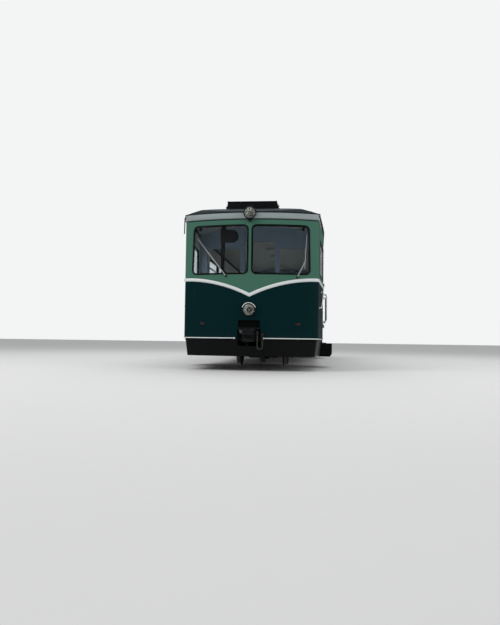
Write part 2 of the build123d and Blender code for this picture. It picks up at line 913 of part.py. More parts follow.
def make_wheelset():
    """Axle, two wheels, rack pinion and brake drum, about the X axis."""
    section = make_face(wheel_profile())
    wheel = revolve(Plane.XZ * section, Axis.X)
    axle_points = [
        (0, 0), (0, axle_radius + 12), (pinion_width / 2 + drum_width + 20, axle_radius + 12),
        (pinion_width / 2 + drum_width + 30, axle_radius), (gauge_back_to_back / 2 + wheel_width + 20, axle_radius),
        (gauge_back_to_back / 2 + wheel_width + 40, journal_radius), (journal_end, journal_radius),
        (journal_end, 0),
    ]
    half_axle = revolve(Plane.XZ * make_face(Polyline(*axle_points, close=True)), Axis.X)
    teeth = pinion_outline() - Circle(axle_radius + 5)
    holes = PolarLocations(175, 6) * Circle(38)
    pinion = extrude(Plane.YZ * (teeth - holes), pinion_width / 2, both=True)
    drum_start = pinion_width / 2
    drum = cylinder_x(drum_radius, drum_start, drum_start + drum_width, 0, 0)
    drum = drum - cylinder_x(drum_radius - 22, drum_start + 16, drum_start + drum_width, 0, 0)
    hub = cylinder_x(axle_radius + 40, -drum_start - 30, drum_start + drum_width, 0, 0)
    parts = [wheel.mirror(Plane.YZ), half_axle, half_axle.mirror(Plane.YZ), pinion, drum, hub]
    return wheel.fuse(*parts)


# Running gear on the frame
def axle_box():
    """Right box, about its axle."""
    inner, outer = box_inner, box_outer
    body = block((inner, outer - 40), (-box_half, box_half), (-box_half, box_half))
    body = fillet(body.edges().filter_by(Axis.X), 18)
    cover = cylinder_x(box_half * 0.78, outer - 40, outer, 0, 0)
    cover = chamfer(cover.edges().sort_by(Axis.X)[-1], 10)
    bore = cylinder_x(journal_radius + journal_clearance, inner - 1, journal_end + 1, 0, 0)
    return body + cover - bore


def leaf_spring():
    """Leaves bent on one centre above, shortest at the bottom, with a block at each end."""
    base = box_half
    centre = base + leaf_radius
    pieces = []
    for number in range(leaf_count):
        outer = leaf_radius - number * leaf_thickness
        inner = outer - leaf_thickness
        half = leaf_half_length - (leaf_count - 1 - number) * leaf_step
        band = Pos(0, centre) * (Circle(outer) - Circle(inner))
        window = Pos(0, base + 150) * Rectangle(2 * half, 320)
        pieces.append(extrude(Plane.YZ * (band & window), leaf_width))
    top_radius = leaf_radius - leaf_count * leaf_thickness
    shoe_y = leaf_half_length - 20
    top = centre - sqrt(top_radius ** 2 - shoe_y ** 2)
    for side in (-1, 1):
        pieces.append(block((0, leaf_width), (side * shoe_y - 18, side * shoe_y + 18),
                            (top - leaf_thickness / 2, frame_low - tread_radius)))
    buckle = block((-4, leaf_width + 8), (-42, 42), (base, base + leaf_count * leaf_thickness + 8))
    return pieces[0].fuse(*pieces[1:], buckle)


def per_axle(shape):
    """A piece made about one axle, at all four journals."""
    pieces = []
    for y in (-axle_y, axle_y):
        placed = Pos(0, y, tread_radius) * shape
        pieces += [placed, placed.mirror(Plane.YZ)]
    return pieces


def axle_guard():
    """Guard plate with a slot for the box and a keeper under it, about its axle."""
    slot = box_half + journal_clearance
    top = frame_low - tread_radius
    flange = top + 120
    points = [(-slot - 220, flange), (-slot - 220, top), (-slot - 60, -box_half - 25), (slot + 60, -box_half - 25),
              (slot + 220, top), (slot + 220, flange)]
    plate = make_face(Polyline(*points, close=True))
    opening = Pos(0, 20) * Rectangle(2 * slot, 2 * box_half + 40 + 2 * journal_clearance)
    return Pos(sole_bar_inner - guard_thickness, 0, 0) * extrude(Plane.YZ * (plate - opening), guard_thickness)


def channel(x_inner, x_outer, y_range, low, high):
    """Channel along the car, open to the outside."""
    web = block((x_inner, x_inner + section_thickness), y_range, (low, high))
    lower = block((x_inner, x_outer), y_range, (low, low + section_thickness))
    upper = block((x_inner, x_outer), y_range, (high - section_thickness, high))
    return web + lower + upper


def make_underframe():
    y_range = (-frame_half_length, frame_half_length)
    pieces = []
    bar = channel(sole_bar_inner, sole_bar_outer, y_range, frame_low, floor_low)
    pieces += [bar, bar.mirror(Plane.YZ)]
    for side in (-1, 1):
        face = side * (frame_half_length + headstock_thickness)
        pieces.append(block((-headstock_half_width, headstock_half_width),
                            (min(face, side * frame_half_length), max(face, side * frame_half_length)),
                            (headstock_low, floor_low)))
    transom_places = [0.0]
    for side in (-1, 1):
        transom_places += [side * (axle_y + hanger_offset), side * (axle_y - motor_offset)]
    for y in transom_places:
        pieces.append(block((-sole_bar_inner, sole_bar_inner), (y - transom_width / 2, y + transom_width / 2),
                            (transom_low, floor_low)))
    outer_place, inner_place = corner_y - outrigger_end_setback, axle_y - outrigger_axle_setback
    for y in (-outer_place, -inner_place, 0, inner_place, outer_place):
        for side in (-1, 1):
            near, far = side * sole_bar_outer, side * (side_x_at(corner_y - abs(y)) - wall)
            pieces.append(block((min(near, far), max(near, far)), (y - 30, y + 30), (floor_low - 90, floor_low)))
            web = side * sole_bar_inner
            pieces.append(block((min(web, near), max(web, near)), (y - 30, y + 30),
                                (frame_low + section_thickness, floor_low - section_thickness)))
    frame = pieces[0].fuse(*pieces[1:])
    guards = per_axle(axle_guard())
    return frame.fuse(*guards) & slab(wall, 0, floor_low)


def make_motor():
    """Motor about end A's axle, at the inner side, with its hanging lug."""
    y = motor_offset
    body = cylinder_x(motor_radius, motor_outer_end, motor_inner_end, y, 0)
    body = chamfer(body.edges().filter_by(GeomType.CIRCLE), 20)
    lug = block((-250, 50), (y - 90, y + 90), (motor_radius - 90, transom_low - tread_radius))
    span = motor_inner_end - motor_outer_end
    for share in (0.16, 0.5, 0.84):
        x = motor_outer_end + share * span
        body = body + cylinder_x(motor_radius + motor_ring_stand, x - motor_ring_width / 2,
                                 x + motor_ring_width / 2, y, 0)
    for share in (0.33, 0.67):
        x = motor_outer_end + share * span
        body = body + block((x - motor_cover_half, x + motor_cover_half), (y, y + motor_radius + motor_cover_stand),
                            (-motor_cover_half, motor_cover_half))
    return body + lug


def make_gear_case():
    """Case over the gears between motor and axle."""
    start = motor_inner_end
    outline = make_hull([
        *Circle(gear_case_axle_radius).edges(),
        *(Pos(motor_offset, 0) * Circle(gear_case_motor_radius)).edges(),
    ])
    outline = outline - Circle(axle_radius + 12 + gear_case_bore_clearance)
    body = extrude(Plane.YZ * outline, gear_case_width)
    return Pos(start, 0, 0) * body


def make_brake_gear():
    """Shoe and hanger for the right wheel of end A, at its outer side."""
    inner = tread_radius + shoe_gap
    outer = inner + shoe_thickness
    band = Circle(outer) - Circle(inner)
    reach = 2 * outer
    rise = reach * sin(radians(shoe_half_angle))
    run = reach * cos(radians(shoe_half_angle))
    wedge = make_face(Polyline((0, 0), (-run, -rise), (-run, rise), close=True))
    back = gauge_back_to_back / 2
    shoe = Pos(back + 36, 0, 0) * extrude(Plane.YZ * (band & wedge), wheel_width - 44)
    y = -(outer - 4)
    strap = block((back + 55, back + 85), (y - 22, y), (-20, transom_low - tread_radius))
    lug = block((back + 45, back + 95), (-(hanger_offset + transom_width / 2), y),
                (transom_low - tread_radius - 22, transom_low - tread_radius))
    return shoe + strap + lug


def make_brake_pair():
    """Both brakes of end A's axle, joined by a round beam behind the wheels."""
    right = make_brake_gear()
    reach = gauge_back_to_back / 2 + 60
    y = -(tread_radius + shoe_gap + shoe_thickness + brake_beam_back)
    beam = cylinder_x(brake_beam_radius, -reach, reach, y, 0)
    return right.fuse(right.mirror(Plane.YZ), beam)


def make_tanks():
    pieces = []
    for side in (-1, 1):
        x = side * tank_x
        body = cylinder_y(tank_radius, -tank_length / 2, tank_length / 2, x, tank_height)
        body = fillet(body.edges().filter_by(GeomType.CIRCLE), 55)
        for y in (-420, 420):
            body = body + block((x - 45, x + 45), (y - 20, y + 20), (tank_height, floor_low))
        pieces.append(body)
    return pieces


def make_cases():
    pieces = []
    for side in (-1, 1):
        for place in (-1, 1):
            near, far = side * case_inner, side * case_outer
            y = place * case_offset
            body = block((min(near, far), max(near, far)), (y - case_length / 2, y + case_length / 2),
                         (case_low, floor_low - 90 - 2))
            body = chamfer(body.edges().filter_by(Axis.Y).group_by(Axis.Z)[0], 45)
            hanger = block((min(near, far) + 40, max(near, far) - 40), (y - 200, y + 200),
                           (floor_low - 95, floor_low))
            outer = far + side * case_lid_stand
            for share in (-0.25, 0.25):
                middle = y + share * case_length
                half = case_length / 4 - case_lid_margin
                lid = block((min(far, outer), max(far, outer)), (middle - half, middle + half),
                            (case_low + 45 + case_lid_margin, floor_low - 92 - case_lid_margin))
                body = body + fillet(lid.edges().filter_by(Axis.X), 20)
            pieces.append(body + hanger)
    return pieces


# Aprons, steps, coupler
def plan_at(inset, height):
    return Pos(0, 0, height) * plan_face(inset)


def make_apron():
    outer = loft([plan_at(apron_low_inset, apron_low), plan_at(apron_top_inset, skirt_line)], ruled=True)
    inner = loft([plan_at(apron_low_inset + apron_thickness, apron_low),
                  plan_at(apron_top_inset + apron_thickness, skirt_line)], ruled=True)
    skirt = outer - inner
    zone = block(across, (-body_length, back_from_corner(apron_end)), (0, skirt_line))
    lip = ring(apron_top_inset - 10, apron_top_inset + apron_thickness, skirt_line - 28, skirt_line - 12)
    notch = front_prism(Pos(0, skirt_line) * Rectangle(2 * notch_half_width, 260))
    return (skirt + lip - notch) & zone


def make_steps():
    """Two treads between end plates under the right door of end A."""
    low_y = door_y[0] - step_margin
    high_y = door_y[1] + step_margin
    plate = step_plate
    outline = [
        (step_inner, step_low), (step_outer - 40, step_low), (step_outer, step_low + 60), (step_outer, step_top),
        (main_half_width + 2, step_top), (main_half_width - 8, skirt_line), (step_inner, skirt_line),
    ]
    end = make_face(Polyline(*outline, close=True))
    ends = [Pos(0, y, 0) * extrude(Plane.XZ * end, -plate) for y in (low_y, high_y - plate)]
    treads = [
        block((step_inner, step_outer - 40), (low_y, high_y), (step_low, step_low + plate)),
        block((step_inner + 60, step_outer), (low_y, high_y), (step_top - plate, step_top)),
        block((step_outer - 6, step_outer), (low_y, high_y), (step_top - 40, step_top)),
    ]
    back = block((step_inner, step_inner + plate), (low_y, high_y), (step_low, skirt_line))
    return ends[0].fuse(ends[1], *treads, back)


def make_coupler():
    """Central coupler of end A: shank, jaw head with a drop-pin hole, and a rounded face."""
    root = -(frame_half_length + headstock_thickness)
    nose = -body_length / 2
    tip = nose - coupler_reach
    head_back = tip + coupler_head_length
    half = coupler_shank / 2
    shank = block((-half, half), (head_back, root), (coupler_height - half, coupler_height + half))
    head = block((-coupler_head_width / 2, coupler_head_width / 2), (tip, head_back),
                 (coupler_height - coupler_head_height / 2, coupler_height + coupler_head_height / 2))
    head = fillet(head.edges().filter_by(Axis.Z).group_by(Axis.Y)[0], 40)
    head = chamfer(head.edges().filter_by(Axis.X).group_by(Axis.Y)[-1], 30)
    jaw = block((-coupler_head_width, coupler_head_width), (tip - 1, tip + coupler_jaw_depth),
                (coupler_height - coupler_jaw_height / 2, coupler_height + coupler_jaw_height / 2))
    pin_y = tip + coupler_pin_setback
    pin_hole = Pos(0, pin_y, coupler_height) * Cylinder(coupler_pin_radius, 2 * coupler_head_height)
    return shank + head - jaw - pin_hole


coupler_pin_setback = 50.0


def make_hose():
    """Brake pipe of end A with its cock, hanging hose and the socket that holds the free end."""
    root = -(frame_half_length + headstock_thickness)
    front = -body_length / 2 - hose_ahead
    cock_height = 670.0
    pipe = cylinder_y(18, front + 6, root, hose_x, cock_height)
    cock = block((hose_x - 24, hose_x + 24), (front - 24, front + 30), (cock_height - 30, cock_height + 26))
    far_x = hose_x + hose_span
    socket_height = 640.0
    holder = block((far_x - 20, far_x + 20), (front - 20, front + nose_bow), (socket_height - 24, socket_height + 24))
    holder = holder - slab(0, 0, eave_height)
    bend = hose_span / 2 - 1
    points = [(hose_x, front, cock_height - 30), (hose_x, front, hose_low), (far_x, front, hose_low),
              (far_x, front, socket_height - 24)]
    hose = tube(points, hose_radius, bend)
    return [pipe + cock, holder], hose


# Handrails, spouts and wipers
def make_rails():
    """Rails of the right side at end A: one on each side of the door and a sloping one on the cab."""
    pieces = []
    x = main_half_width
    for y in (door_y[0] - door_rail_margin, door_y[1] + door_rail_margin):
        points = [(x, y, door_rail_low), (x + rail_stand, y, door_rail_low), (x + rail_stand, y, door_rail_high),
                  (x, y, door_rail_high)]
        pieces.append(tube(points, rail_radius, 40))
    ends = []
    for distance, rise in (cab_rail_low_end, cab_rail_high_end):
        height = band_side_height + rise
        face = side_x_at(distance)
        ends.append([(face, back_from_corner(distance), height),
                     (face + cab_rail_stand, back_from_corner(distance), height)])
    points = [ends[0][0], ends[0][1], ends[1][1], ends[1][0]]
    sloping = tube(points, cab_rail_radius, 25) - slab(0, 0, eave_height)
    pieces.append(sloping)
    return pieces


def make_spout():
    """Bent rain spout at the right corner of end A's roof."""
    y = back_from_corner(0)
    points = [(corner_half_width + out, y + back, cornice_low + rise) for out, back, rise in spout_table]
    bent = tube(points, spout_radius, 45)
    return bent - slab(-roof_overhang, cornice_low, cornice_high) - roof_solid(0, -roof_overhang, cornice_low)


# Wipers of end A as (x, height above the windscreens' lower edge)
wiper_table = (
    # pivot           arm end          blade from       blade to
    ((-440.0, -36.0), (-790.0, 481.0), (-560.0, 191.0), (-1010.0, 761.0)),
    ((866.0, -42.0), (1002.0, 244.0), (996.0, 114.0), (1030.0, 744.0)),
)


def strip_sketch(start, end, width):
    """Flat strip with round ends between two points."""
    dx, dz = end[0] - start[0], end[1] - start[1]
    length = sqrt(dx ** 2 + dz ** 2)
    angle = degrees(asin(dz / length))
    if dx < 0:
        angle = 180 - angle
    middle = ((start[0] + end[0]) / 2, (start[1] + end[1]) / 2)
    return Pos(*middle) * Rot(0, 0, angle) * SlotOverall(length + width, width)


def make_wipers():
    arm_ring = ring(-(wiper_ahead + wiper_thickness), -wiper_ahead, screen_low - 200, screen_high)
    blade_ring = ring(-wiper_ahead, glass_inset - 0.3, screen_low - 200, screen_high)
    pieces = []
    for row in wiper_table:
        pivot, arm_end, blade_start, blade_end = [(x, screen_low + rise) for x, rise in row]
        arm = arm_ring & front_prism(strip_sketch(pivot, arm_end, wiper_arm_width))
        blade = blade_ring & front_prism(strip_sketch(blade_start, blade_end, wiper_blade_width))
        boss = ring(-wiper_ahead, 0, screen_low - 200, screen_low) & front_prism(
            Pos(*pivot) * Circle(wiper_pivot_radius))
        pieces.append(arm + blade + boss)
    return pieces


def roof_box_louvres(x_range, y_range):
    """Slots round a roof box, one above the other."""
    slots = []
    x_low, x_high = x_range
    y_low, y_high = y_range
    for number in range(louvre_count):
        top = roof_box_top - 6 - lid_thickness - louvre_margin / 2 - number * louvre_pitch
        z_range = (top - louvre_height, top)
        for side in (-1, 1):
            near, far = side * louvre_margin / 2, side * (x_high - louvre_margin)
            for face, inner in ((y_low, y_low + louvre_depth), (y_high, y_high - louvre_depth)):
                slots.append(block((min(near, far), max(near, far)), (min(face, inner), max(face, inner)), z_range))
            face, inner = side * x_high, side * (x_high - louvre_depth)
            slots.append(block((min(face, inner), max(face, inner)), (y_low + louvre_margin, y_high - louvre_margin),
                               z_range))
    return slots


def make_roof_box():
    """Low louvred box on the roof behind end A's lamp, with a lid, raised ends and four feet."""
    y_range = (back_from_corner(roof_box_start), back_from_corner(roof_box_start + roof_box_length))
    x_range = (-roof_box_half_width, roof_box_half_width)
    body = block(x_range, y_range, (roof_box_low, roof_box_top - 6))
    for slot in roof_box_louvres(x_range, y_range):
        body = body - slot
    body = body + block(x_range, (y_range[0] - lid_overhang, y_range[1] + lid_overhang),
                        (roof_box_top - 6 - lid_thickness, roof_box_top - 6))
    for side in (-1, 1):
        near, far = side * roof_box_half_width, side * (roof_box_half_width - 14)
        body = body + block((min(near, far), max(near, far)), (y_range[0] - lid_overhang, y_range[1] + lid_overhang),
                            (roof_box_top - 6 - lid_thickness, roof_box_top))
        for y in (y_range[0] + 2 * box_foot_width, y_range[1] - 2 * box_foot_width):
            far = side * (roof_box_half_width + box_foot_reach)
            body = body + block((min(near, far), max(near, far)), (y - box_foot_width / 2, y + box_foot_width / 2),
                                (roof_box_low, roof_box_top - box_foot_height))
    return body - roof_solid(0, -roof_overhang, cornice_low)


# Inside
def make_partition():
    y_range = (back_from_corner(partition_position), back_from_corner(partition_position + partition_thickness))
    wall_piece = slab(wall, floor_top, eave_height) & block(across, y_range, (floor_top, eave_height))
    under_roof = roof_solid(roof_thickness, wall + drip_recess, eave_height)
    wall_piece = wall_piece + (under_roof & block(across, y_range, (eave_height, roof_crown)))
    doorway = block((-doorway_half_width, doorway_half_width), (y_range[0] - 1, y_range[1] + 1),
                    (floor_top - 1, doorway_top))
    wall_piece = wall_piece - doorway
    for side in (-1, 1):
        near, far = side * partition_window_inner, side * partition_window_outer
        wall_piece = wall_piece - block((min(near, far), max(near, far)), (y_range[0] - 1, y_range[1] + 1),
                                        (partition_window_low, partition_window_high))
    return wall_piece


def make_desk():
    """Control desk across end A, following the bowed front."""
    inner_nose = -(body_length / 2 - wall - desk_clearance)
    rear = back_from_corner(desk_depth)
    outline = [(inner_nose, floor_top), (rear - 120, floor_top), (rear - 120, desk_top - 180), (rear, desk_top - 60),
               (rear, desk_top - 40), (rear - 220, desk_top), (inner_nose, desk_top)]
    profile = make_face(Polyline(*outline, close=True))
    desk = side_prism(profile, corner_half_width - wall - 80)
    return desk & slab(wall, floor_top, desk_top + 1)


def make_driver_seat():
    x = driver_seat_x
    y = back_from_corner(driver_seat_setback)
    foot = Pos(x, y, floor_top + 15) * Cylinder(160, 30)
    post = Pos(x, y, floor_top + 230) * Cylinder(35, 430)
    cushion = block((x - 220, x + 220), (y - 210, y + 210), (floor_top + 430, floor_top + 520))
    back = block((x - 210, x + 210), (y + 210, y + 280), (floor_top + 440, floor_top + 960))
    return foot + post + cushion + back


def make_sun_blind():
    """Dark board on a post beside the windscreen, from the desk to the roof."""
    y = back_from_corner(blind_setback)
    post = Pos(blind_post_x, y, (desk_top + roof_crown) / 2) * Cylinder(blind_post_radius, roof_crown - desk_top)
    under_roof = roof_solid(roof_thickness, wall + drip_recess, eave_height)
    post = (post & slab(wall, desk_top, eave_height)) + (post & under_roof)
    board = RectangleRounded(blind_width, blind_high - blind_low, blind_corner)
    middle = blind_post_x - blind_post_radius + blind_width / 2
    panel = extrude(Plane.XZ * (Pos(middle, (blind_low + blind_high) / 2) * board), blind_thickness / 2, both=True)
    return post + Pos(0, y, 0) * panel


def bench_sketch(front, back):
    """Bench in Y and Z. Front and back are places along the car."""
    way = 1.0 if back > front else -1.0
    z0, seat = floor_top, floor_top + bench_height
    outline = [
        (front + way * 70, z0), (front + way * 70, seat - 110), (front, seat - 90), (front, seat - 15),
        (back - way * (bench_back_thickness + 25), seat), (back - way * bench_back_thickness * 0.8,
                                                          z0 + bench_back_height),
        (back, z0 + bench_back_height), (back, z0),
    ]
    return make_face(Polyline(*outline, close=True))


def make_benches():
    pieces = []
    for start in saloon_window_starts:
        low = start - window_pillar / 2 + bench_gap / 2
        high = start + saloon_window_width + window_pillar / 2 - bench_gap / 2
        for front, back in ((low + bench_depth, low), (high - bench_depth, high)):
            sketch = bench_sketch(front, back)
            right = Pos(bench_inner, 0, 0) * extrude(Plane.YZ * sketch, bench_outer - bench_inner)
            pieces += [right, right.mirror(Plane.YZ)]
    return pieces


# Current collector
collector_y = back_from_corner(collector_position)
knee_run = arm_length * cos(radians(fold_angle))
knee_rise = arm_length * sin(radians(fold_angle))
head_height = pivot_height + 2 * knee_rise


def rod(x, start, end, radius):
    """Straight round arm in a plane across X, between two places given as (y, z)."""
    dy, dz = end[0] - start[0], end[1] - start[1]
    length = sqrt(dy ** 2 + dz ** 2)
    axis = Plane(origin=(x, start[0], start[1]), z_dir=(0, dy, dz))
    return axis * (Pos(0, 0, length / 2) * Cylinder(radius, length))


def make_lower_arm(side):
    """Two tubes from the base shaft to the knee shaft. Side -1 is the front arm, 1 the rear one."""
    base = (collector_y + side * pivot_offset, pivot_height)
    knee = (base[0] + side * knee_run, pivot_height + knee_rise)
    shaft_end = base_half_width + base_bar / 2 + 6
    pieces = [cylinder_x(shaft_radius, -shaft_end, shaft_end, *base),
              cylinder_x(shaft_radius, -lower_arm_x - 30, lower_arm_x + 30, *knee)]
    for x in (-lower_arm_x, lower_arm_x):
        pieces.append(rod(x, base, knee, arm_radius))
    return pieces[0].fuse(*pieces[1:])


def make_upper_arm(side):
    """Two tubes from eyes on the knee shaft to eyes at the head."""
    knee = (collector_y + side * (pivot_offset + knee_run), pivot_height + knee_rise)
    head = (collector_y + side * pivot_offset, head_height)
    pieces = []
    for x in (-upper_arm_x, upper_arm_x):
        for place in (knee, head):
            pieces.append(cylinder_x(eye_radius, x - eye_width / 2, x + eye_width / 2, *place))
        pieces.append(rod(x, knee, head, arm_radius - 3))
    tie_share = 0.35
    tie = (knee[0] + tie_share * (head[0] - knee[0]), knee[1] + tie_share * (head[1] - knee[1]))
    pieces.append(cylinder_x(arm_radius - 4, -upper_arm_x, upper_arm_x, *tie))
    total = pieces[0].fuse(*pieces[1:])
    for place in (knee, head):
        total = total - cylinder_x(shaft_radius + shaft_clearance, -lower_arm_x, lower_arm_x, *place)
    return total


def make_collector_head():
    """Two contact strips with drooping horns on a frame between the head pivots."""
    pieces = []
    strip_z = head_height + strip_rise
    for side in (-1, 1):
        y = collector_y + side * pivot_offset
        pieces.append(cylinder_x(shaft_radius, -upper_arm_x - eye_width, upper_arm_x + eye_width, y, head_height))
        outer = strip_half_length + horn_reach
        outline = [(-outer, strip_z - horn_drop), (-strip_half_length, strip_z), (strip_half_length, strip_z),
                   (outer, strip_z - horn_drop), (outer, strip_z - horn_drop - 22),
                   (strip_half_length - 10, strip_z - strip_height), (-strip_half_length + 10, strip_z - strip_height),
                   (-outer, strip_z - horn_drop - 22)]
        strip = extrude(Plane.XZ * make_face(Polyline(*outline, close=True)), strip_width / 2, both=True)
        pieces.append(Pos(0, y, 0) * strip)
        for x in (-180, 180):
            pieces.append(block((x - 14, x + 14), (y - 14, y + 14), (head_height, strip_z - strip_height + 5)))
    for x in (-180, 180):
        pieces.append(block((x - 12, x + 12), (collector_y - pivot_offset, collector_y + pivot_offset),
                            (head_height - 12, head_height + 12)))
    return pieces[0].fuse(*pieces[1:])


def insulator(x, y):
    """Ribbed part of an insulator, hanging from the base bars."""
    profile = [(0, 0)]
    for number in range(insulator_sheds):
        top = -12 - number * insulator_step
        profile += [(insulator_core, top), (insulator_radius, top - 11), (insulator_radius, top - 14),
                    (insulator_core, top - 10)]
    profile[0:1] = [(0, 0), (insulator_core, 0)]
    profile.append((0, profile[-1][1]))
    sheds = revolve(Plane.XZ * make_face(Polyline(*profile, close=True)), Axis.Z)
    return Pos(x, y, base_low) * sheds


def make_collector_base():
    """Frame on four insulators, with bearings for the lower arms."""
    pieces = []
    high = base_low + base_bar
    for side in (-1, 1):
        x = side * base_half_width
        pieces.append(block((x - 22, x + 22), (collector_y - base_half_length, collector_y + base_half_length),
                            (base_low, high)))
        y = collector_y + side * (base_half_length - 25)
        pieces.append(block((-base_half_width, base_half_width), (y - 25, y + 25), (base_low, high)))
    for x in (-base_half_width, base_half_width):
        for side in (-1, 1):
            y = collector_y + side * pivot_offset
            bearing = block((x - 22, x + 22), (y - 30, y + 30), (high, pivot_height + 30))
            pieces.append(bearing)
    frame = pieces[0].fuse(*pieces[1:])
    for side in (-1, 1):
        y = collector_y + side * pivot_offset
        frame = frame - cylinder_x(shaft_radius + shaft_clearance, -base_half_width - 23, base_half_width + 23,
                                   y, pivot_height)
    roof_mass = roof_solid(0, -roof_overhang, cornice_low)
    for x in (-insulator_x, insulator_x):
        for side in (-1, 1):
            y = collector_y + side * (base_half_length - 25)
            length = base_low - roof_side_height
            column = Pos(x, y, roof_side_height + length / 2) * Cylinder(insulator_core, length)
            frame = frame + (column - roof_mass) + insulator(x, y)
    for x in (-base_spring_x, base_spring_x):
        middle = base_low + base_bar / 2
        half = base_half_length - 25
        frame = frame + cylinder_y(base_spring_rod, collector_y - half, collector_y + half, x, middle)
        frame = frame + cylinder_y(base_spring_radius, collector_y - base_spring_length / 2,
                                   collector_y + base_spring_length / 2, x, middle)
    return frame


# Write every node
os.makedirs("parts", exist_ok=True)
lift = Pos(0, 0, flange_height)


def write(node, *shapes):
    solids = [lift * solid for shape in shapes for solid in shape.solids()]
    whole = solids[0] if len(solids) == 1 else Compound(children=solids)
    export_step(whole, f"parts/{node}.step")


cab_front = make_cab_front()
side_wall = make_side_wall()
roof = make_roof()
cornice = make_cornice()
write("cab_front_a", cab_front)
write("cab_front_b", turned(cab_front))
write("side_wall_right", side_wall)
write("side_wall_left", side_wall.mirror(Plane.YZ))
write("roof", roof)
write("front_cornices", cornice, turned(cornice))
write("floor", slab(wall, floor_low, floor_top))
write("underframe", make_underframe())

door = make_door()
door_seal, door_pane = make_door_window()
door_pieces = {"door": door, "door_seal": door_seal, "door_glass": door_pane}
for name, piece in door_pieces.items():
    left_piece = piece.mirror(Plane.YZ)
    write(f"{name}_a_right", piece)
    write(f"{name}_a_left", left_piece)
    write(f"{name}_b_left", turned(piece))
    write(f"{name}_b_right", turned(left_piece))

write("windscreens", fitted(screens(seal_width), None, glass_inset, glass_inset + glass_thickness))
write("windscreen_seals", fitted(screens(0), screens(seal_width), -seal_stand, wall - seal_stand))
write("side_windows", fitted(side_openings(fixed_side_windows, side_seal_width), None, glass_inset,
                             glass_inset + glass_thickness))
write("side_window_seals", fitted(side_openings(fixed_side_windows, 0),
                                  side_openings(fixed_side_windows, side_seal_width),
                                  -seal_stand, wall - seal_stand))

sashes = make_sash_rails()
write("sash_rails", *sashes, *[piece.mirror(Plane.YZ) for piece in sashes])

band = front_band()
write("waist_bands", band, turned(band), *side_wall_band())
trims = front_trims()
write("lower_trims", *trims, *[turned(piece) for piece in trims], *side_trims())

lamps = make_headlamps()
write("headlamps", *lamps, *[turned(piece) for piece in lamps])
lenses = [lamp_lens(0, lamp_low_height, lamp_low_radius, lamp_low_stand),
          lamp_lens(0, lamp_roof_height, lamp_roof_radius, lamp_roof_stand + roof_overhang)]
write("headlamp_lenses", *lenses, *[turned(piece) for piece in lenses])
visor = low_visor()
write("headlamp_visors", visor, turned(visor))
tail_lamps = make_tail_lamps()
write("tail_lamps", *tail_lamps, *[turned(piece) for piece in tail_lamps])

wheelset = make_wheelset()
write("wheelset_a", Pos(0, -axle_y, tread_radius) * wheelset)
write("wheelset_b", Pos(0, axle_y, tread_radius) * Rot(0, 0, 180) * wheelset)
write("axle_boxes", *per_axle(axle_box()))
write("leaf_springs", *per_axle(Pos(sole_bar_outer - leaf_width, 0, 0) * leaf_spring()))
motor = Pos(0, -axle_y, tread_radius) * make_motor()
write("traction_motors", motor, turned(motor))
gear_case = Pos(0, -axle_y, tread_radius) * make_gear_case()
write("gear_cases", gear_case, turned(gear_case))
brake = Pos(0, -axle_y, tread_radius) * make_brake_pair()
write("brake_gear", brake, turned(brake))
write("air_tanks", *make_tanks())
write("equipment_cases", *make_cases())

apron = make_apron()
write("aprons", apron, turned(apron))
steps = make_steps()
write("door_steps", steps, steps.mirror(Plane.YZ), turned(steps), turned(steps).mirror(Plane.YZ))
coupler = make_coupler()
write("couplers", coupler, turned(coupler))
pipe_pieces, hose = make_hose()
write("brake_pipes", *pipe_pieces, *[turned(piece) for piece in pipe_pieces])
write("brake_hoses", hose, turned(hose))

rails = make_rails()
rails += [piece.mirror(Plane.YZ) for piece in rails]
write("grab_rails", *rails, *[turned(piece) for piece in rails])
spout = make_spout()
spouts = [spout, spout.mirror(Plane.YZ)]
write("rain_spouts", *spouts, *[turned(piece) for piece in spouts])
wipers = make_wipers()
write("wipers", *wipers, *[turned(piece) for piece in wipers])
roof_box = make_roof_box()
write("roof_boxes", roof_box, turned(roof_box))

partition = make_partition()
write("cab_partitions", partition, turned(partition))
desk = make_desk()
write("control_desks", desk, turned(desk))
seat = make_driver_seat()
write("driver_seats", seat, turned(seat))
blind = make_sun_blind()
write("sun_blinds", blind, turned(blind))
write("saloon_benches", *make_benches())

write("collector_base", make_collector_base())
for side, place in ((-1, "front"), (1, "rear")):
    write(f"lower_arm_{place}", make_lower_arm(side))
    write(f"upper_arm_{place}", make_upper_arm(side))
write("collector_head", make_collector_head())
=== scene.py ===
"""Looks of a small rack railway railcar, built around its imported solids.

Everything is in metres in the row frame: X across the car, Y along it with end A at -Y, Z up from the
flange tips. Heights named as above the rail are turned into Z by adding the flange height.
"""

import logging
from collections.abc import Callable, Iterable, Sequence
from dataclasses import dataclass, field
from enum import Enum
from math import atan2, copysign, cos, dist, exp, hypot, pi, radians, sin, sqrt, tan, tau
from typing import Any

import bmesh
import bpy
from mathutils import Matrix, Vector
from mathutils.bvhtree import BVHTree


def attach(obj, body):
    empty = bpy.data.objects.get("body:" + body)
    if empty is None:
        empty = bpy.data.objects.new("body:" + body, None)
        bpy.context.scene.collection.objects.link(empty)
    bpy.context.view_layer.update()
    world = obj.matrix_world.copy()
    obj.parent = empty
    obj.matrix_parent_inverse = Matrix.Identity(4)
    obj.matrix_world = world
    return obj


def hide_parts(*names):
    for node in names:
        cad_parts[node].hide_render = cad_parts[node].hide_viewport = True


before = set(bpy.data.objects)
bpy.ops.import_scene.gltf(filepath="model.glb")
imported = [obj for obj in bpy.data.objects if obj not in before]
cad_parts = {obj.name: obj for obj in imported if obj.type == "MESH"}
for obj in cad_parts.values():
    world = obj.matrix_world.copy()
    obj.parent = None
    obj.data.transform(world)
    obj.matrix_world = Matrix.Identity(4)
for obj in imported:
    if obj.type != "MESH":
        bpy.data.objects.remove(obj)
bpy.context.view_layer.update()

LOG = logging.getLogger("railcar")

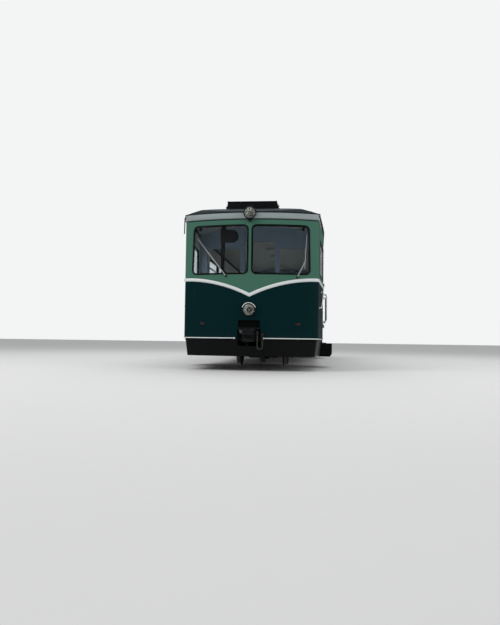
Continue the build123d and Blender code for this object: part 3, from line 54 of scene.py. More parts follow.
Point = tuple[float, float, float]
Flat = tuple[float, float]
Colour = tuple[float, float, float]
Frame = tuple[Vector, Vector, Vector]
Face = bpy.types.MeshPolygon
Out = bpy.types.NodeSocket

FLANGE = 0.028
NOSE_Y = 5.8
CORNER_Y = 5.56
CORNER_X = 1.25
SIDE_X = 1.35
TAPER_Y = 4.06
CORNER_RADIUS = 0.09
WALL = 0.045
FRONT_RADIUS = (CORNER_X**2 + (NOSE_Y - CORNER_Y) ** 2) / (2 * (NOSE_Y - CORNER_Y))
FRONT_CENTRE_Y = -NOSE_Y + FRONT_RADIUS
BAND_HEIGHT = 1.651
BAND_DROP = 0.294
BAND_RADIUS = (CORNER_X**2 + BAND_DROP**2) / (2 * BAND_DROP)
AXLE_Y = 2.8
TREAD_RADIUS = 0.35
DOOR_FRONT_Y = 3.78
DOOR_REAR_Y = 2.96
DOORS = ("a_right", "a_left", "b_right", "b_left")
BOTH = (-1, 1)
QUARTERS = tuple((side, end) for side in BOTH for end in BOTH)
UP = Vector((0, 0, 1))
WELD = 1e-6


def rail(height: float) -> float:
    """Z of a height above the rail head."""
    return height + FLANGE


def srgb(red: int, green: int, blue: int) -> Colour:
    """Linear colour of a display colour given from 0 to 255.

    Args:
        red: first channel.
        green: second channel.
        blue: third channel.

    Returns:
        The linear colour.
    """
    shares = (level / 255 for level in (red, green, blue))
    return tuple(share / 12.92 if share <= 0.04045 else ((share + 0.055) / 1.055) ** 2.4 for share in shares)


def linked(name: str, data: bpy.types.ID) -> bpy.types.Object:
    """A new object in the scene."""
    made = bpy.data.objects.new(name, data)
    bpy.context.scene.collection.objects.link(made)
    return made


def front_y(x: float, stand: float = 0.0) -> float:
    """Y of end A's bowed face at x, with stand metres added outwards."""
    return FRONT_CENTRE_Y - sqrt((FRONT_RADIUS + stand) ** 2 - x**2)


def circle(radius: float, count: int, start: float = 0.0) -> list[Flat]:
    """Evenly spaced places on a circle, the first one at an angle in radians."""
    angles = [start + tau * number / count for number in range(count)]
    return [(radius * cos(angle), radius * sin(angle)) for angle in angles]


def arc(centre: Flat, radius: float, start: float, end: float, steps: int) -> list[Flat]:
    """Points on an arc.

    Args:
        centre: its middle.
        radius: its radius.
        start: angle in degrees where it starts.
        end: angle where it ends.
        steps: number of straight runs.

    Returns:
        The points.
    """
    angles = [radians(start + (end - start) * number / steps) for number in range(steps + 1)]
    return [(centre[0] + radius * cos(angle), centre[1] + radius * sin(angle)) for angle in angles]


# Meshes


class Shape:
    """A mesh in the making: points, faces and the finish number of each face."""

    def __init__(self) -> None:
        """Starts empty."""
        self.points: list[Point] = []
        self.faces: list[list[int]] = []
        self.paints: list[int] = []

    def add(self, points: Iterable[Sequence[float]], faces: Iterable[Sequence[int]], paint: int = 0) -> None:
        """Adds points and the faces over them.

        Args:
            points: places in the row frame.
            faces: lists of indices into those points.
            paint: the finish number that the faces get.
        """
        base = len(self.points)
        self.points += [(float(p[0]), float(p[1]), float(p[2])) for p in points]
        self.faces += [[base + index for index in face] for face in faces]
        self.paints += [paint] * (len(self.faces) - len(self.paints))

    def rings(
        self, rings: Sequence[Sequence[Sequence[float]]], paint: int = 0, closed: bool = False, caps: bool = True
    ) -> None:
        """Adds a skin over rings of points.

        Args:
            rings: the rings, each with as many points.
            paint: finish number.
            closed: whether the last ring joins the first.
            caps: whether open ends are filled.
        """
        count, total = len(rings[0]), len(rings)
        faces = []
        for row in range(total if closed else total - 1):
            here, there = row * count, (row + 1) % total * count
            faces += [[here + n, here + (n + 1) % count, there + (n + 1) % count, there + n] for n in range(count)]
        if caps and not closed:
            faces += [list(range(count))[::-1], list(range((total - 1) * count, total * count))]
        self.add([point for ring in rings for point in ring], faces, paint)

    def box(self, low: Point, high: Point, paint: int = 0) -> None:
        """Adds a box between two corners."""
        (x, y, z), (far_x, far_y, far_z) = low, high
        self.rings([[(a, y, z), (a, far_y, z), (a, far_y, far_z), (a, y, far_z)] for a in (x, far_x)], paint)

    def lathe(self, profile: Iterable[Flat], start: Point, axis: str, sides: int = 32, paint: int = 0) -> None:
        """Adds a turned form.

        Args:
            profile: (distance along the axis, radius) pairs; a radius of 0 closes an end.
            start: the place where the distance is 0.
            axis: X, Y or Z.
            sides: steps round the axis.
            paint: finish number.
        """
        main = "XYZ".index(axis)
        rings = []
        for along, radius in profile:
            ring = []
            for first, second in circle(radius, sides):
                place = list(start)
                place[main] += along
                place[main - 2] += first
                place[main - 1] += second
                ring.append(place)
            rings.append(ring)
        self.rings(rings, paint, caps=False)

    def sweep(self, section: Sequence[Flat], frames: Iterable[Frame], paint: int = 0, closed: bool = False) -> None:
        """Adds a section carried along frames.

        Args:
            section: (first, second) pairs, a closed outline.
            frames: (place, first direction, second direction) for each station.
            paint: finish number.
            closed: whether the last station joins the first.
        """
        rings = [[place + first * a + second * b for a, b in section] for place, first, second in frames]
        self.rings(rings, paint, closed)

    def tube(
        self, path: Iterable[Sequence[float]], radius: float, sides: int = 12, paint: int = 0, closed: bool = False
    ) -> None:
        """Adds a round bar along points.

        Args:
            path: the points.
            radius: the bar's radius.
            sides: steps round it.
            paint: finish number.
            closed: whether it runs back to its start.
        """
        places = [Vector(point) for point in path]
        total = len(places)
        frames = []
        side_way: Vector | None = None
        for number, place in enumerate(places):
            before = places[number - 1] if closed or number > 0 else place
            after = places[(number + 1) % total] if closed or number < total - 1 else place
            along = (after - before).normalized()
            if side_way is None:
                side_way = along.cross(UP if abs(along.z) < 0.9 else Vector((1, 0, 0))).normalized()
            side_way = (side_way - along * side_way.dot(along)).normalized()
            frames.append((place, side_way, along.cross(side_way)))
        self.sweep(circle(radius, sides), frames, paint, closed)

    def prism(self, outline: Sequence[Flat], plane: str, low: float, high: float, paint: int = 0) -> None:
        """Adds a flat outline given thickness.

        Args:
            outline: pairs in the plane's two axes, in order.
            plane: XY, XZ or YZ.
            low: one side along the third axis.
            high: the other side.
            paint: finish number.
        """
        third = ("YZ", "XZ", "XY").index(plane)
        self.rings([[(*pair[:third], level, *pair[third:]) for pair in outline] for level in (low, high)], paint)

    def bolts(self, places: Iterable[Point], axis: str, radius: float, height: float, paint: int = 0) -> None:
        """Adds six-sided bolt heads.

        Args:
            places: the middles of their seats.
            axis: the axis that they stand along.
            radius: half their width.
            height: how far they stand; below 0 they stand the other way.
            paint: finish number.
        """
        for place in places:
            self.lathe([(0, 0), (0, radius), (height * 0.8, radius), (height, radius * 0.8), (height, 0)],
                       place, axis, 6, paint)

    def merge(self, other: "Shape") -> "Shape":
        """Adds another shape's faces and returns this one."""
        self.add(other.points, other.faces)
        self.paints[len(self.paints) - len(other.paints):] = other.paints
        return self

    def moved(self, matrix: Matrix) -> "Shape":
        """A copy under a transformation."""
        copy = Shape().merge(self)
        copy.points = [tuple(matrix @ Vector(point)) for point in self.points]
        return copy

    def turned(self) -> "Shape":
        """The same form at the other end of the car."""
        return self.moved(Matrix.Rotation(pi, 4, "Z"))

    def mirrored(self) -> "Shape":
        """The same form on the other side of the car."""
        return self.moved(Matrix.Scale(-1, 4, (1, 0, 0)))

    def both_ends(self) -> "Shape":
        """This form and its copy at the other end."""
        return Shape().merge(self).merge(self.turned())

    def both_sides(self) -> "Shape":
        """This form and its copy on the other side."""
        return Shape().merge(self).merge(self.mirrored())


def rounded_path(points: Iterable[Point], radius: float, steps: int = 6) -> list[Vector]:
    """Straight runs with their corners rounded off.

    Args:
        points: ends and corners.
        radius: of the corners.
        steps: straight runs in a corner.

    Returns:
        The places along the path.
    """
    corners = [Vector(point) for point in points]
    result = [corners[0]]
    for before, corner, after in zip(corners, corners[1:], corners[2:]):
        way_in, way_out = (before - corner).normalized(), (after - corner).normalized()
        reach = radius / tan(way_in.angle(way_out) / 2)
        cut = min(reach, (before - corner).length * 0.49, (after - corner).length * 0.49)
        start, end = corner + way_in * cut, corner + way_out * cut
        for share in (step / steps for step in range(steps + 1)):
            result.append(start * (1 - share) ** 2 + corner * 2 * share * (1 - share) + end * share**2)
    return result + [corners[-1]]


def plan_line(until_y: float) -> list[tuple[Vector, Vector]]:
    """Body outline from end A's middle round the right corner to a place on the side.

    Args:
        until_y: Y where the line ends.

    Returns:
        Pairs of a place and the outward direction there, both with Z 0.
    """
    centre = Vector((0, FRONT_CENTRE_Y, 0))
    start, end = Vector((CORNER_X, -CORNER_Y, 0)), Vector((SIDE_X, -TAPER_Y, 0))
    along = (end - start).normalized()
    normal = Vector((along.y, -along.x, 0))
    offset = start - normal * CORNER_RADIUS - centre
    ahead = offset.dot(along)
    root = sqrt(ahead**2 - offset.length_squared + (FRONT_RADIUS - CORNER_RADIUS) ** 2)
    middle = centre + offset + along * min(-ahead - root, -ahead + root, key=abs)
    corner_way = (middle - centre).normalized()
    last, side = atan2(corner_way.x, -corner_way.y), atan2(normal.x, -normal.y)
    turns = [(centre, FRONT_RADIUS, last * step / 24) for step in range(25)]
    turns += [(middle, CORNER_RADIUS, last + (side - last) * step / 8) for step in range(1, 9)]
    ways = [(point, radius, Vector((sin(angle), -cos(angle), 0))) for point, radius, angle in turns]
    result = [(point + way * radius, way) for point, radius, way in ways]
    outward = Vector((1, 0, 0))
    return result + [(end, (normal + outward).normalized()), (Vector((SIDE_X, until_y, 0)), outward)]


def half_round(width: float, stand: float, steps: int = 10) -> list[Flat]:
    """Half-round section with its flat back just inside the surface.

    Args:
        width: its width.
        stand: how far it stands out.
        steps: straight runs round it.

    Returns:
        Pairs of outwards and upwards.
    """
    angles = [pi * number / steps for number in range(steps + 1)]
    curve = [(stand * sin(angle), -width / 2 * cos(angle)) for angle in angles]
    return [(-0.001, -width / 2), *curve, (-0.001, width / 2)]


# Node trees


class Kind(Enum):
    """Socket types of the shared effects."""

    NUMBER = "NodeSocketFloat"
    VECTOR = "NodeSocketVector"
    COLOUR = "NodeSocketColor"

    @classmethod
    def of(cls, start: Any) -> "Kind":
        """The type that a starting value tells: a number, three numbers or four."""
        return {0: cls.NUMBER, 3: cls.VECTOR, 4: cls.COLOUR}[len(start) if isinstance(start, tuple) else 0]


class Tree:
    """Short calls for building one node tree."""

    def __init__(self, tree: bpy.types.NodeTree) -> None:
        """Keeps the tree."""
        self.tree = tree

    def feed(self, node: bpy.types.Node, inputs: dict[Any, Any]) -> bpy.types.Node:
        """Sets or links a node's inputs.

        Args:
            node: the node.
            inputs: socket name or number to a value or another node's output.

        Returns:
            The node.
        """
        for name, value in inputs.items():
            socket = node.inputs[name]
            if isinstance(value, Out):
                self.tree.links.new(value, socket)
            else:
                socket.default_value = (*value[:3], 1.0) if socket.type == "RGBA" else value
        return node

    def node(self, kind: str, inputs: dict[Any, Any], **settings: Any) -> Any:
        """Adds a node.

        Args:
            kind: its type name without the ShaderNode prefix.
            inputs: socket name or number to a value or another node's output.
            settings: attribute name to value.

        Returns:
            Its outputs.
        """
        made = self.tree.nodes.new("ShaderNode" + kind)
        for name, value in settings.items():
            setattr(made, name, value)
        return self.feed(made, inputs).outputs

    def use(self, shared: "Effect", **inputs: Any) -> Any:
        """Places a shared effect with its own values and gives its outputs."""
        return self.node("Group", inputs, node_tree=shared.group())

    def math(self, operation: str, first: Any, second: Any = 0.0, clamp: bool = False) -> Out:
        """A sum on one or two numbers."""
        return self.node("Math", {0: first, 1: second}, operation=operation, use_clamp=clamp)[0]

    def times(self, first: Any, second: Any, clamp: bool = False) -> Out:
        """One number times another."""
        return self.math("MULTIPLY", first, second, clamp)

    def plus(self, first: Any, second: Any, clamp: bool = False) -> Out:
        """One number and another."""
        return self.math("ADD", first, second, clamp)

    def mix(self, share: Any, first: Any, second: Any) -> Out:
        """Two colours mixed by a share."""
        return self.node("Mix", {0: share, 6: first, 7: second}, data_type="RGBA")[2]

    def span(self, value: Any, low: Any, high: Any) -> Out:
        """A number turned from low..high into a smooth 0..1."""
        inputs = {"Value": value, "From Min": low, "From Max": high}
        return self.node("MapRange", inputs, interpolation_type="SMOOTHSTEP")[0]

    def noise(self, vector: Any, scale: Any, detail: float = 3.0, rough: float = 0.55) -> Out:
        """A noise value."""
        return self.node("TexNoise", {"Vector": vector, "Scale": scale, "Detail": detail, "Roughness": rough})["Fac"]

    def place(self) -> Out:
        """Object coordinates, which are the row frame's at rest."""
        return self.node("TexCoord", {})["Object"]

    def axes(self) -> Any:
        """X, Y and Z of the place, as three outputs."""
        return self.node("SeparateXYZ", {0: self.place()})


Fill = Callable[[Tree, Any], dict[str, Out]]


class Effect:
    """A shared effect: a node group that is built when it is first used."""

    def __init__(self, name: str, **inputs: Any) -> None:
        """Keeps the name and the inputs' starting values, which tell their kinds."""
        self.name, self.inputs = name, inputs

    def __call__(self, fill: Fill) -> "Effect":
        """Takes the function that adds the nodes and gives what feeds each output."""
        self.fill = fill
        return self

    def group(self) -> bpy.types.NodeTree:
        """The node group, built once."""
        if self.name in bpy.data.node_groups:
            return bpy.data.node_groups[self.name]
        group = bpy.data.node_groups.new(self.name, "ShaderNodeTree")
        for label, start in self.inputs.items():
            socket = group.interface.new_socket(label, in_out="INPUT", socket_type=Kind.of(start).value)
            socket.default_value = start
        tree = Tree(group)
        results = self.fill(tree, group.nodes.new("NodeGroupInput").outputs)
        for label, result in results.items():
            kind = Kind.COLOUR if result.type == "RGBA" else Kind.NUMBER
            group.interface.new_socket(label, in_out="OUTPUT", socket_type=kind.value)
        tree.feed(group.nodes.new("NodeGroupOutput"), results)
        return group


@Effect("rising dust", Low=0.2, High=1.4, Scale=3.0, Amount=0.6)
def rising_dust(tree: Tree, take: Any) -> dict[str, Out]:
    """Dust that is thickest low down, broken up by noise."""
    place = tree.place()
    height = tree.node("SeparateXYZ", {0: place})[2]
    rough = tree.noise(place, take["Scale"], 5.0, 0.62)
    fine = tree.noise(place, tree.times(take["Scale"], 7.0), 3.0)
    low = tree.math("SUBTRACT", 1.0, tree.span(height, take["Low"], take["High"]))
    broken = tree.plus(tree.times(rough, 0.9), tree.times(fine, 0.35))
    return {"Mask": tree.times(tree.times(low, broken), take["Amount"], True)}


@Effect("rain streaks", Scale=14.0, Amount=0.3)
def rain_streaks(tree: Tree, take: Any) -> dict[str, Out]:
    """Thin upright runs of washed-down dirt, from noise stretched along Z."""
    place = tree.place()
    stretched = tree.node("VectorMath", {0: place, 1: (1.0, 1.0, 0.045)}, operation="MULTIPLY")[0]
    fine = tree.noise(stretched, take["Scale"], 4.0, 0.6)
    mask = tree.times(tree.span(fine, 0.52, 0.72), tree.span(tree.noise(place, 0.9, 2.0), 0.35, 0.7))
    return {"Mask": tree.times(mask, take["Amount"], True)}


@Effect("edge wear", Width=0.004, Scale=18.0, Amount=0.7)
def edge_wear(tree: Tree, take: Any) -> dict[str, Out]:
    """Rubbed edges, from the rounded and the true normal, broken up by noise."""
    soft = tree.node("Bevel", {"Radius": take["Width"]}, samples=4)[0]
    true = tree.node("NewGeometry", {})["True Normal"]
    near = tree.node("VectorMath", {0: soft, 1: true}, operation="DOT_PRODUCT")["Value"]
    edge = tree.math("SUBTRACT", 1.0, tree.span(near, 0.75, 0.985))
    spots = tree.span(tree.noise(tree.place(), take["Scale"], 5.0, 0.7), 0.45, 0.62)
    return {"Mask": tree.times(tree.times(edge, spots), take["Amount"], True)}


@Effect("mottle", Color=(0.5, 0.5, 0.5, 1.0), Scale=1.2, Swing=0.25)
def mottle(tree: Tree, take: Any) -> dict[str, Out]:
    """Slow change of a colour over a surface: two noises push it up and down."""
    place = tree.place()
    wide = tree.noise(place, take["Scale"], 4.0)
    fine = tree.noise(place, tree.times(take["Scale"], 23.0), 3.0)
    both = tree.plus(tree.times(wide, 0.7), tree.times(fine, 0.3))
    value = tree.plus(1.0, tree.times(tree.math("SUBTRACT", both, 0.5), take["Swing"]))
    return {"Color": tree.node("HueSaturation", {"Value": value, "Color": take["Color"]})[0], "Mask": both}


@Effect("two tone", Upper=(0.2, 0.4, 0.3, 1.0), Lower=(0.01, 0.05, 0.05, 1.0))
def two_tone(tree: Tree, take: Any) -> dict[str, Out]:
    """Upper and lower body colour, split along the band's V in front and level along the sides."""
    x, _, z = tree.axes()
    gap = tree.math("MAXIMUM", tree.math("SUBTRACT", CORNER_X, tree.math("ABSOLUTE", x)), 0.0)
    inside = tree.math("SUBTRACT", BAND_RADIUS**2, tree.times(gap, gap))
    level = tree.plus(tree.math("SQRT", inside), rail(BAND_HEIGHT) - BAND_RADIUS)
    return {"Color": tree.mix(tree.math("GREATER_THAN", z, level), take["Lower"], take["Upper"])}


@Effect("grain", Scale=60.0, Stretch=(1.0, 1.0, 1.0))
def grain(tree: Tree, take: Any) -> dict[str, Out]:
    """Fine relief, stretched along any axis."""
    place = tree.node("VectorMath", {0: tree.place(), 1: take["Stretch"]}, operation="MULTIPLY")[0]
    return {"Height": tree.noise(place, take["Scale"], 6.0, 0.6)}


# Finishes


@dataclass(frozen=True)
class Finish:
    """Base of all finishes: makes its material once."""

    name: str

    def material(self) -> bpy.types.Material:
        """The finish's material, built when it is first asked for."""
        label = f"{self.name}_finish"
        if label not in bpy.data.materials:
            made = bpy.data.materials.new(label)
            made.use_nodes = True
            self.fill(Tree(made.node_tree), made.node_tree.nodes["Principled BSDF"])
        return bpy.data.materials[label]

    def fill(self, tree: Tree, shader: bpy.types.Node) -> None:
        """Adds what feeds the shader."""
        raise NotImplementedError

    @staticmethod
    def relief(tree: Tree, height: Out, depth: float, strength: float) -> Out:
        """A normal bent by a height."""
        return tree.node("Bump", {"Height": height, "Distance": depth, "Strength": strength})[0]


@dataclass(frozen=True)
class Enamel(Finish):
    """Painted metal with dust, streaks and rubbed edges.

    Attributes:
        dust: how much dust lies on it, up to the height dust_top.
        streaks: how much rain has streaked it.
        wear: how far the edges are rubbed, down to the colour under it.
        swing: how much the colour changes over the surface.
        coat: gloss coat over the paint.
        ripple: depth of the paint's slow waves.
        shine: strength of its reflections.
    """

    colour: Colour
    rough: float = 0.35
    dust: float = 0.0
    dust_top: float = 1.2
    streaks: float = 0.1
    wear: float = 0.4
    under: Colour = (0.1, 0.09, 0.08)
    dust_colour: Colour = (0.16, 0.145, 0.12)
    swing: float = 0.18
    coat: float = 0.0
    ripple: float = 0.0006
    shine: float = 0.3

    def colour_source(self, tree: Tree) -> Any:
        """The paint colour before dirt."""
        return self.colour

    def fill(self, tree: Tree, shader: bpy.types.Node) -> None:
        """Paint, then streaks, dust and wear over it."""
        base = tree.use(mottle, Color=self.colour_source(tree), Scale=0.8, Swing=self.swing)
        streaks = tree.use(rain_streaks, Amount=self.streaks)[0]
        dust = tree.use(rising_dust, High=self.dust_top, Low=0.15, Amount=self.dust)[0]
        worn = tree.use(edge_wear, Amount=self.wear)[0]
        colour = base["Color"]
        for mask, over in ((streaks, self.dust_colour), (dust, self.dust_colour), (worn, self.under)):
            colour = tree.mix(mask, colour, over)
        rough = tree.plus(tree.times(base["Mask"], 0.14), self.rough - 0.07)
        tree.feed(shader, {
            "Base Color": colour, "Roughness": tree.plus(rough, tree.times(dust, 0.45), True),
            "Coat Weight": self.coat, "Coat Roughness": 0.12, "Specular IOR Level": self.shine,
            "Normal": self.relief(tree, tree.use(grain, Scale=5.0)[0], self.ripple * 10, 0.12),
        })


@dataclass(frozen=True)
class BodyPaint(Enamel):
    """The two-tone body paint."""

    lower: Colour = (0.004, 0.035, 0.035)

    def colour_source(self, tree: Tree) -> Any:
        """Upper colour above the band, lower colour below it."""
        return tree.use(two_tone, Upper=self.colour, Lower=self.lower)[0]


@dataclass(frozen=True)
class Lining(Enamel):
    """The walls' inner side: panel colour above the floor, black paint below it."""

    dark: Colour = (0.004, 0.004, 0.005)

    def colour_source(self, tree: Tree) -> Any:
        """Panel colour above the floor, the dark one below it."""
        return tree.mix(tree.span(tree.axes()[2], rail(0.79), rail(0.798)), self.dark, self.colour)


@dataclass(frozen=True)
class Metal(Finish):
    """Bare metal under patches of grime, with fine marks stretched along X, Y and Z by brushed."""

    colour: Colour
    rough: float = 0.3
    dirt: float = 0.4
    grime: Colour = (0.05, 0.04, 0.032)
    brushed: Point = (1.0, 1.0, 1.0)
    relief_depth: float = 0.0004

    def fill(self, tree: Tree, shader: bpy.types.Node) -> None:
        """Metal where it is clean, plain grime where it isn't."""
        shade = tree.use(mottle, Color=self.colour, Scale=2.5, Swing=0.3)[0]
        fine = tree.use(grain, Scale=70.0, Stretch=self.brushed)[0]
        mask = tree.times(tree.span(tree.noise(tree.place(), 5.0, 6.0, 0.65), 0.38, 0.7), self.dirt, True)
        rough = tree.plus(self.rough - 0.06, tree.times(fine, 0.16))
        tree.feed(shader, {
            "Base Color": tree.mix(mask, shade, self.grime), "Metallic": tree.math("SUBTRACT", 1.0, mask, True),
            "Roughness": tree.plus(rough, tree.times(mask, 0.5), True),
            "Normal": self.relief(tree, fine, self.relief_depth, 0.35),
        })


@dataclass(frozen=True)
class Soft(Finish):
    """Rubber, leathercloth and other soft or moulded stuff.

    Attributes:
        grain_scale: size of its grain, which is grain_depth deep.
        sheen: soft edge light.
        swing: how much the colour changes.
        shine: strength of its plain reflection.
    """

    colour: Colour
    rough: float = 0.6
    grain_scale: float = 140.0
    grain_depth: float = 0.0008
    dust: float = 0.25
    sheen: float = 0.0
    swing: float = 0.3
    shine: float = 0.5

    def fill(self, tree: Tree, shader: bpy.types.Node) -> None:
        """Even colour with dust and grain."""
        shade = tree.use(mottle, Color=self.colour, Scale=2.0, Swing=self.swing)[0]
        patches = tree.span(tree.noise(tree.place(), 4.0, 6.0, 0.7), 0.42, 0.75)
        dusty = tree.mix(tree.times(patches, self.dust, True), shade, (0.17, 0.16, 0.14))
        fine = tree.use(grain, Scale=self.grain_scale)[0]
        tree.feed(shader, {
            "Base Color": dusty, "Roughness": tree.plus(self.rough - 0.1, tree.times(fine, 0.2), True),
            "Sheen Weight": self.sheen, "Specular IOR Level": self.shine,
            "Normal": self.relief(tree, fine, self.grain_depth, 0.5),
        })


@dataclass(frozen=True)
class Pane(Finish):
    """Clear or coloured glass.

    Attributes:
        smear: how much dirt lies on it.
        flutes: spacing of upright ribs, or 0 for none.
        through: how much light passes; the rest is scattered by dirt.
        gloss: extra reflection of its surface.
        bend: how strongly it bends light.
    """

    tint: Colour = (0.86, 0.93, 0.91)
    smear: float = 0.12
    flutes: float = 0.0
    through: float = 1.0
    gloss: float = 0.0
    bend: float = 1.48

    def fill(self, tree: Tree, shader: bpy.types.Node) -> None:
        """Glass with faint dried drops, and ribs where it has them."""
        film = tree.span(tree.noise(tree.place(), 6.0, 7.0, 0.7), 0.4, 0.8)
        tree.feed(shader, {
            "Base Color": self.tint, "Transmission Weight": self.through, "Coat Weight": self.gloss,
            "IOR": self.bend, "Roughness": tree.plus(0.01, tree.times(film, self.smear), True),
        })
        if self.flutes > 0:
            wave = tree.math("SINE", tree.times(tree.axes()[0], tau / self.flutes))
            tree.feed(shader, {"Normal": self.relief(tree, wave, self.flutes * 0.05, 0.9)})


@dataclass(frozen=True)
class Timber(Finish):
    """Varnished wood, its light and dark grain small along one axis of the stretch."""

    light: Colour
    dark: Colour
    stretch: Point = (9.0, 9.0, 0.6)
    rough: float = 0.35

    def fill(self, tree: Tree, shader: bpy.types.Node) -> None:
        """Long grain lines with pores."""
        lines, pores = (tree.use(grain, Scale=scale, Stretch=self.stretch)[0] for scale in (2.4, 26.0))
        colour = tree.mix(tree.span(lines, 0.35, 0.68), self.light, self.dark)
        colour = tree.mix(tree.times(tree.span(pores, 0.55, 0.8), 0.4), colour, self.dark)
        tree.feed(shader, {
            "Base Color": colour, "Roughness": tree.plus(self.rough, tree.times(pores, 0.12)),
            "Coat Weight": 0.4, "Normal": self.relief(tree, pores, 0.0006, 0.3),
        })


@dataclass(frozen=True)
class Glow(Finish):
    """A pale unlit bulb or dial face."""

    colour: Colour
    rough: float = 0.3

    def fill(self, tree: Tree, shader: bpy.types.Node) -> None:
        """Pale and slightly uneven."""
        shade = tree.use(mottle, Color=self.colour, Scale=20.0, Swing=0.15)[0]
        tree.feed(shader, {"Base Color": shade, "Roughness": self.rough})


@dataclass(frozen=True)
class Finishes:
    """Every finish of the car."""

    body: Finish = BodyPaint(
        "body_paint", srgb(66, 106, 90), rough=0.42, dust=0.1, dust_top=0.85, streaks=0.05, wear=0.2, shine=0.05,
        lower=srgb(1, 33, 36), swing=0.12, dust_colour=srgb(60, 66, 62),
    )
    inner: Finish = Lining("inner_cream", srgb(200, 202, 196), rough=0.5, dust=0.05, streaks=0.0, wear=0.1)
    roof: Finish = Enamel(
        "roof_grey", srgb(46, 56, 60), rough=0.6, streaks=0.4, wear=0.1, swing=0.4, shine=0.2,
        dust_colour=srgb(40, 40, 38),
    )
    # Light grey cornice paint: partly its own paint, partly a painted reflection of the sky on its up-leaning face.
    cornice: Finish = Enamel(
        "cornice_grey_sky_reflection", srgb(142, 152, 152), streaks=0.4, wear=0.3, dust_colour=srgb(104, 112, 112),
    )
    black: Finish = Enamel(
        "apron_black", srgb(3, 5, 6), rough=0.42, dust=0.03, dust_top=0.6, streaks=0.03, wear=0.3,
        under=srgb(70, 66, 62), dust_colour=srgb(50, 48, 44), shine=0.12,
    )
    # Near-black, barely reflecting paint on the faces inside the coupler recess: painted shade of the recess.
    recess_shade: Finish = Enamel("recess_shade_black", srgb(3, 4, 5), rough=0.6, dust=0.02, streaks=0.0, wear=0.1, shine=0.05)
    roof_black: Finish = Enamel(
        "roof_gear_black", srgb(12, 14, 17), rough=0.5, streaks=0.2, under=srgb(80, 78, 74),
        dust_colour=srgb(44, 44, 42), shine=0.15,
    )
    frame: Finish = Enamel(
        "frame_paint", srgb(30, 29, 28), rough=0.6, dust=0.5, dust_top=0.9, wear=0.5, under=srgb(88, 68, 54),
        dust_colour=srgb(66, 58, 50), swing=0.5, shine=0.2,
    )
    iron: Finish = Metal(
        "oily_iron", srgb(56, 56, 55), rough=0.5, dirt=0.9, grime=srgb(24, 22, 20), relief_depth=0.002,
    )
    coupler: Finish = Metal("coupler_iron", srgb(26, 30, 33), rough=0.4, dirt=0.6, grime=srgb(9, 10, 11))
    link: Finish = Metal("link_steel", srgb(92, 102, 110), rough=0.28, dirt=0.5, grime=srgb(12, 13, 14))
    tread: Finish = Metal("bright_tread", srgb(176, 174, 170), rough=0.25, dirt=0.2, brushed=(0.4, 8.0, 8.0))
    wheel: Finish = Metal(
        "wheel_face", srgb(74, 70, 66), rough=0.5, dirt=0.95, grime=srgb(48, 38, 31), relief_depth=0.0015,
    )
    steel: Finish = Metal("bare_steel", srgb(170, 170, 168), dirt=0.3)
    chrome: Finish = Metal("chrome", srgb(225, 226, 226), rough=0.1, dirt=0.12, grime=srgb(120, 118, 112))
    reflector: Finish = Metal("lamp_reflector", srgb(216, 216, 212), rough=0.12, dirt=0.5, grime=srgb(80, 80, 76))
    white: Finish = Enamel(
        "moulding_white", srgb(212, 216, 216), rough=0.3, dust=0.1, dust_top=0.9, under=srgb(120, 116, 110),
        coat=0.3, shine=0.4,
    )
    wiper: Finish = Enamel(
        "wiper_grey", srgb(168, 172, 172), streaks=0.2, wear=0.7, under=srgb(90, 88, 84),
        dust_colour=srgb(90, 90, 88),
    )
    rubber: Finish = Soft("window_rubber", srgb(4, 5, 6), rough=0.45, dust=0.02, shine=0.12)
    hose: Finish = Soft("hose_rubber", srgb(20, 20, 21), rough=0.5, grain_scale=320.0)
    seat: Finish = Soft(
        "seat_leathercloth", srgb(48, 66, 50), rough=0.45, grain_scale=260.0, grain_depth=0.0012, dust=0.06,
        sheen=0.1,
    )
    floor: Finish = Soft("floor_cover", srgb(54, 52, 48), rough=0.5, grain_scale=60.0, dust=0.3)
    glass: Finish = Pane("window_glass", tint=(0.9, 0.955, 0.985), smear=0.01, gloss=0.1, bend=1.12)
    lamp_glass: Finish = Pane("lamp_glass", tint=(0.8, 0.82, 0.8), smear=0.03, flutes=0.012)
    ruby: Finish = Pane("ruby_glass", tint=(0.02, 0.003, 0.004), smear=0.2, flutes=0.009, through=0.5)
    blind: Finish = Soft("blind_black", srgb(5, 5, 7), rough=0.8, dust=0.0, shine=0.1)
    # Near-white paint on the chrome visors: painted reflection of the bright sky in the chrome.
    visor: Finish = Enamel("visor_bright", srgb(238, 242, 242), rough=0.2, wear=0.2, coat=0.4, shine=0.5)
    partition: Finish = Enamel(
        "partition_paint", srgb(132, 148, 164), rough=0.5, dust=0.1, dust_top=1.4, streaks=0.0,
        dust_colour=srgb(70, 70, 68),
    )
    veneer: Finish = Timber("partition_veneer", srgb(120, 88, 56), srgb(76, 52, 32))
    desk: Finish = Enamel("desk_enamel", srgb(70, 80, 78), rough=0.4, dust=0.05, streaks=0.0, wear=0.6)
    lamp: Finish = Enamel("lamp_paint", srgb(8, 14, 16), dust=0.05, under=srgb(120, 118, 112), shine=0.2)
    collector: Finish = Enamel(
        "collector_oxide", srgb(74, 36, 28), rough=0.55, streaks=0.4, wear=0.8, under=srgb(104, 92, 84),
        dust_colour=srgb(46, 36, 31), swing=0.4,
    )
    porcelain: Finish = Enamel(
        "porcelain", srgb(92, 44, 26), rough=0.15, streaks=0.3, wear=0.0, coat=0.8, shine=0.5,
        dust_colour=srgb(50, 34, 26),
    )
    carbon: Finish = Soft("carbon_strip", srgb(34, 34, 36), rough=0.35, grain_scale=200.0, dust=0.05)
    copper: Finish = Metal("copper_braid", srgb(170, 96, 62), rough=0.4, dirt=0.6, grime=srgb(56, 48, 40))
    bulb: Finish = Glow("bulb", srgb(150, 146, 130))
    dial: Finish = Glow("dial_face", srgb(206, 204, 192))


# Stage


